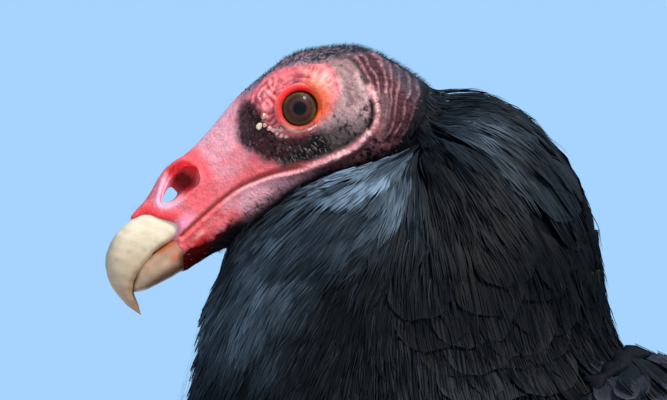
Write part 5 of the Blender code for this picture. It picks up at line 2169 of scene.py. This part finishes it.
def scaly(grid, spacing, height, plates):
    """Raises a tube's rings: overlapping plates along its upper front, small scales elsewhere."""
    rows, columns = grid.shape[:2]
    flat = grid.reshape(-1, 3)
    normals = outward_normals(grid).reshape(-1, 3)
    run = np.linalg.norm(np.diff(grid.mean(axis=1), axis=0), axis=1)
    along = np.repeat(np.concatenate(([0], np.cumsum(run))), columns)
    facing = np.tile(plates, rows)
    phase = (along + 0.35 * lattice(flat / 5, 81)) / spacing % 1
    plate = phase**0.6 - 1.2 * smooth(0.86, 1.0, phase)
    cells = cell_pattern(flat / (spacing * 0.62))
    raised = facing * plate + (1 - facing) * cells
    return flat + normals * (height * (raised - 0.5))[:, None], raised


def cell_pattern(points):
    """Rounded cells in space: 1 in the middle of a cell, 0 between cells."""
    home = np.floor(points)
    first, second = np.full(len(points), 9.0), np.full(len(points), 9.0)
    for step in np.ndindex(3, 3, 3):
        cell = home + np.array(step) - 1
        key = cell @ np.array((127.1, 311.7, 74.7))
        jitter = np.column_stack([np.sin(key * scale) * 43758.5 % 1 for scale in (1.0, 1.7, 2.3)])
        gap = np.linalg.norm(cell + 0.2 + 0.6 * jitter - points, axis=1)
        second = np.minimum(second, np.maximum(gap, first))
        first = np.minimum(first, gap)
    return smooth(0.0, 0.28, second - first)


def leg_part(name, grid, spacing, height, plates):
    """A scaly tube of the leg, flat where it would pass the floor."""
    points, raised = scaly(grid, spacing, height, plates)
    points[:, 2] = np.maximum(points[:, 2], -EYE_HEIGHT)
    obj = closed_tube(name, points.reshape(grid.shape), from_side)
    tint = layered(
        LEG_DIRT,
        (LEG_PINK, smooth(0.1, 0.7, raised)),
        (colour(222, 208, 196), 0.35 * smooth(0, 1, lattice(points / 9, 83))),
    )
    paint(obj, "tint", np.vstack((tint, tint[:2])))
    return obj


def toe_heading(side, heading):
    """A level direction, heading radians out from straight ahead."""
    return np.array((-side * math.sin(heading), -math.cos(heading), 0))


def shank_part(side):
    start = from_floor(FOOT, side) + (0, 3, 9)
    shares = np.array((-0.08, 0, 0.12, 0.3, 0.6, 0.85, 1.0, 1.12))
    path = start + (from_floor(HOCK, side) - start) * shares[:, None]
    radii = np.array((5.4, 6.2, 5.4, 4.7, 4.8, 6.2, 6.8, 6.0))
    grid = leg_rings(path, radii, LEG_COLUMNS, 18)
    front = smooth(0.3, 0.75, -grid_normals(grid)[40, :, 1])
    return leg_part("shank_skin", grid, spacing=3.6, height=0.45, plates=front)


def sole_part(side):
    """The ball of the foot."""
    turn = wheel_angles(LEG_COLUMNS)
    tilt = np.linspace(0.05, math.pi - 0.05, 40)[:, None]
    wide, high = 9.0 * np.sin(tilt), 6.0 + 9.0 * np.cos(tilt)
    ball = np.stack((wide * np.cos(turn), wide * np.sin(turn), high + 0 * turn), axis=-1)
    ball = from_floor(FOOT, side) + ball
    return leg_part("sole_skin", ball, spacing=2.6, height=0.4, plates=0 * turn)


def toe_part(side, heading, length):
    share = np.linspace(0, 1, 13)
    radius = TOE_RADIUS * (1 - 0.3 * share) * (1 + 0.1 * np.cos(6 * math.pi * share))
    path = from_floor(FOOT, side) + toe_heading(side, heading) * length * share[:, None]
    path[:, 2] += 0.8 * radius + 3.0 * (1 - share) ** 3
    radius[-1] *= 0.8
    grid = leg_rings(path, radius, LEG_COLUMNS, 9)
    upper = smooth(0.2, 0.6, (grid[50] - grid[50].mean(axis=0))[:, 2] / radius[6])
    return leg_part("toe_skin", grid, spacing=2.9, height=0.5, plates=upper)


def leg_skins(side):
    """The shank, the ball of the foot and the toes of one leg."""
    parts = [shank_part(side), sole_part(side)]
    return parts + [toe_part(side, heading, length) for heading, length in TOES.values()]


def claw_grid(side, heading, length):
    """Rings of a curved claw at the end of a toe."""
    share = np.linspace(0, 1, 15)
    reach = length - 3 + CLAW_LENGTH * share
    path = from_floor(FOOT, side) + toe_heading(side, heading) * reach[:, None]
    path[:, 2] += 3.2 + 4.6 * np.sin(0.62 * math.pi * share) - 4.4 * share - 1.7 * share
    grid = leg_rings(path, CLAW_RADIUS * (1 - share) ** 0.8 + 0.3, CLAW_COLUMNS, 4)
    grid[..., 2] = np.maximum(grid[..., 2], -EYE_HEIGHT)
    return grid


def build_claws():
    material, shader = plain_material("claw_horn", colour(34, 28, 26), 0.32, Coat_Weight=0.3)
    shader.inputs["Coat Roughness"].default_value = 0.2
    streaks = texture(material, "noise", Scale=900.0, Detail=4.0)
    paint_from(material, streaks, "claw_tone", colour(20, 17, 16), colour(58, 48, 42), shader)
    add_bump(material, shader, streaks, "Fac", 0.0001)
    for name, side in SIDES.items():
        for toe, (heading, length) in TOES.items():
            grid = claw_grid(side, heading, length)
            obj = closed_tube(f"claw_horn_{toe}_{name}", grid, from_side)
            finish_piece(obj, material, "claw_horn", f"claw_{toe}_{name}")


# ---------------------------------------------------------------- the skin as one piece


COAT_DEPTH, THIGH_COAT = 4.6, 3.4  # how deep the skin lies inside the coat
CORE_VOXEL = 0.0028


def wing_core(side):
    """The flesh of a folded wing: a closed plate inside the coverts."""
    stations = np.linspace(0, COVERTS_STATION, 70)[:, None]
    share = np.linspace(0.06, 0.94, 30)[None]
    rows = curve_at(WING, stations.ravel())
    outer, _ = wing_points(stations, share, side, -4.0)
    thickness = np.maximum(1.2, rows[:, 7:8] * np.sqrt(4 * share * (1 - share)))
    inner, _ = wing_points(stations, share, side, -np.maximum(thickness - 1, 4.6))
    grid = np.concatenate((outer, inner[:, ::-1]), axis=1)
    obj = mesh_object("wing_core", from_side(grid.reshape(-1, 3)), grid_faces(70, 60, True))
    face_outwards(obj)
    return obj


def body_core():
    """Neck, trunk, thighs and wings inside the coat, fused into one smooth surface."""
    grids = [body_rings(110, 80, COAT_DEPTH), thigh_rings(1, THIGH_COAT), thigh_rings(-1, THIGH_COAT)]
    parts = [closed_tube("core", grid, from_side) for grid in grids]
    parts += [wing_core(1), wing_core(-1)]
    return remeshed("body_skin", parts, voxel=CORE_VOXEL, passes=4)


# ---------------------------------------------------------------- assembly


DOWN = colour(13, 14, 18)  # the dark down on the skin under the feathers


def skin_material():
    material, shader = plain_material("bare_skin", PINK, 0.56, Subsurface_Weight=0.1, Subsurface_Scale=0.0015)
    stored = attribute(material, "tint")
    gloss = ramp(material, "gloss", (0.03, 0.03, 0.03), (0.22, 0.22, 0.22), 0.01, 0.08)
    link(material, stored, "Fac", gloss, "Fac")
    link(material, gloss, "Color", shader, "Specular IOR Level")
    shader.inputs["Subsurface Radius"].default_value = (1.0, 0.3, 0.2)
    mottle = texture(material, "noise", Scale=700.0, Detail=5.0, Roughness=0.65)
    tinted(material, shader, "tint", mottle, "Fac", 0.18)
    add_bump(material, shader, texture(material, "voronoi", Scale=1300.0), "Distance", 0.00012)
    add_bump(material, shader, texture(material, "noise", Scale=420.0, Detail=6.0), "Fac", 0.0003)
    return material


def build_skin():
    head = build_head_skin()
    tint = head_colours(to_head(points_of(head)))
    there = to_side(points_of(head))
    covered = smooth(-2.5, 0.8, behind_edge(there) - 1.8 * edge_shift(there))
    paint(head, "tint", lay_over(tint, DOWN, covered))
    build_bristles(head)
    parts = [head]
    for side in SIDES.values():
        lids = lid_ring(side)
        paint(lids, "tint", lid_colours(to_head(points_of(lids))))
        parts.append(lids)
        for k, bead in enumerate(beads(side)):
            paint(bead, "tint", np.tile(WART if k < 2 else LID_BEAD, (len(bead.data.vertices), 1)))
            parts.append(bead)
        parts += leg_skins(side)
    body = body_core()
    paint(body, "tint", np.tile(DOWN, (len(body.data.vertices), 1)))
    parts.append(body)
    skin = joined("skin", parts)
    nodes = ["head", "lower_jaw", "neck", "trunk"]
    for part in ("thigh", "shank", "foot", "wing_coverts"):
        nodes += [f"{part}_left", f"{part}_right"]
    finish_piece(skin, skin_material(), "bare_skin", *nodes)


def main():
    build_stage()
    build_skin()
    build_bill()
    build_eyes()
    build_claws()
    body = body_rings(260, 160)
    folded = [(wing_grid(120, 40, side), False) for side in SIDES.values()]
    head_part = (to_side(from_head(HEAD_GRID[::4, ::4])), True)
    neck_surface = Surface.of_grids([head_part, (body, True), *folded])
    trunk_surface = Surface.of_grids([(body, True)])
    wings = Surface.of_grids(folded)
    build_ruff(neck_surface)
    build_body_coat(trunk_surface, wings)
    tones = (colour(12, 12, 15), colour(50, 51, 60))
    tip_tone = (0.075, 0.068, 0.068)
    flight = feather_material("flight_feather", *tones, tip_dark=0.35, roughness=0.5, tip_tone=tip_tone)
    for name, side in SIDES.items():
        build_wing(name, side, flight)
    build_tertials(flight)
    build_tail(flight)
    build_thighs()


main()
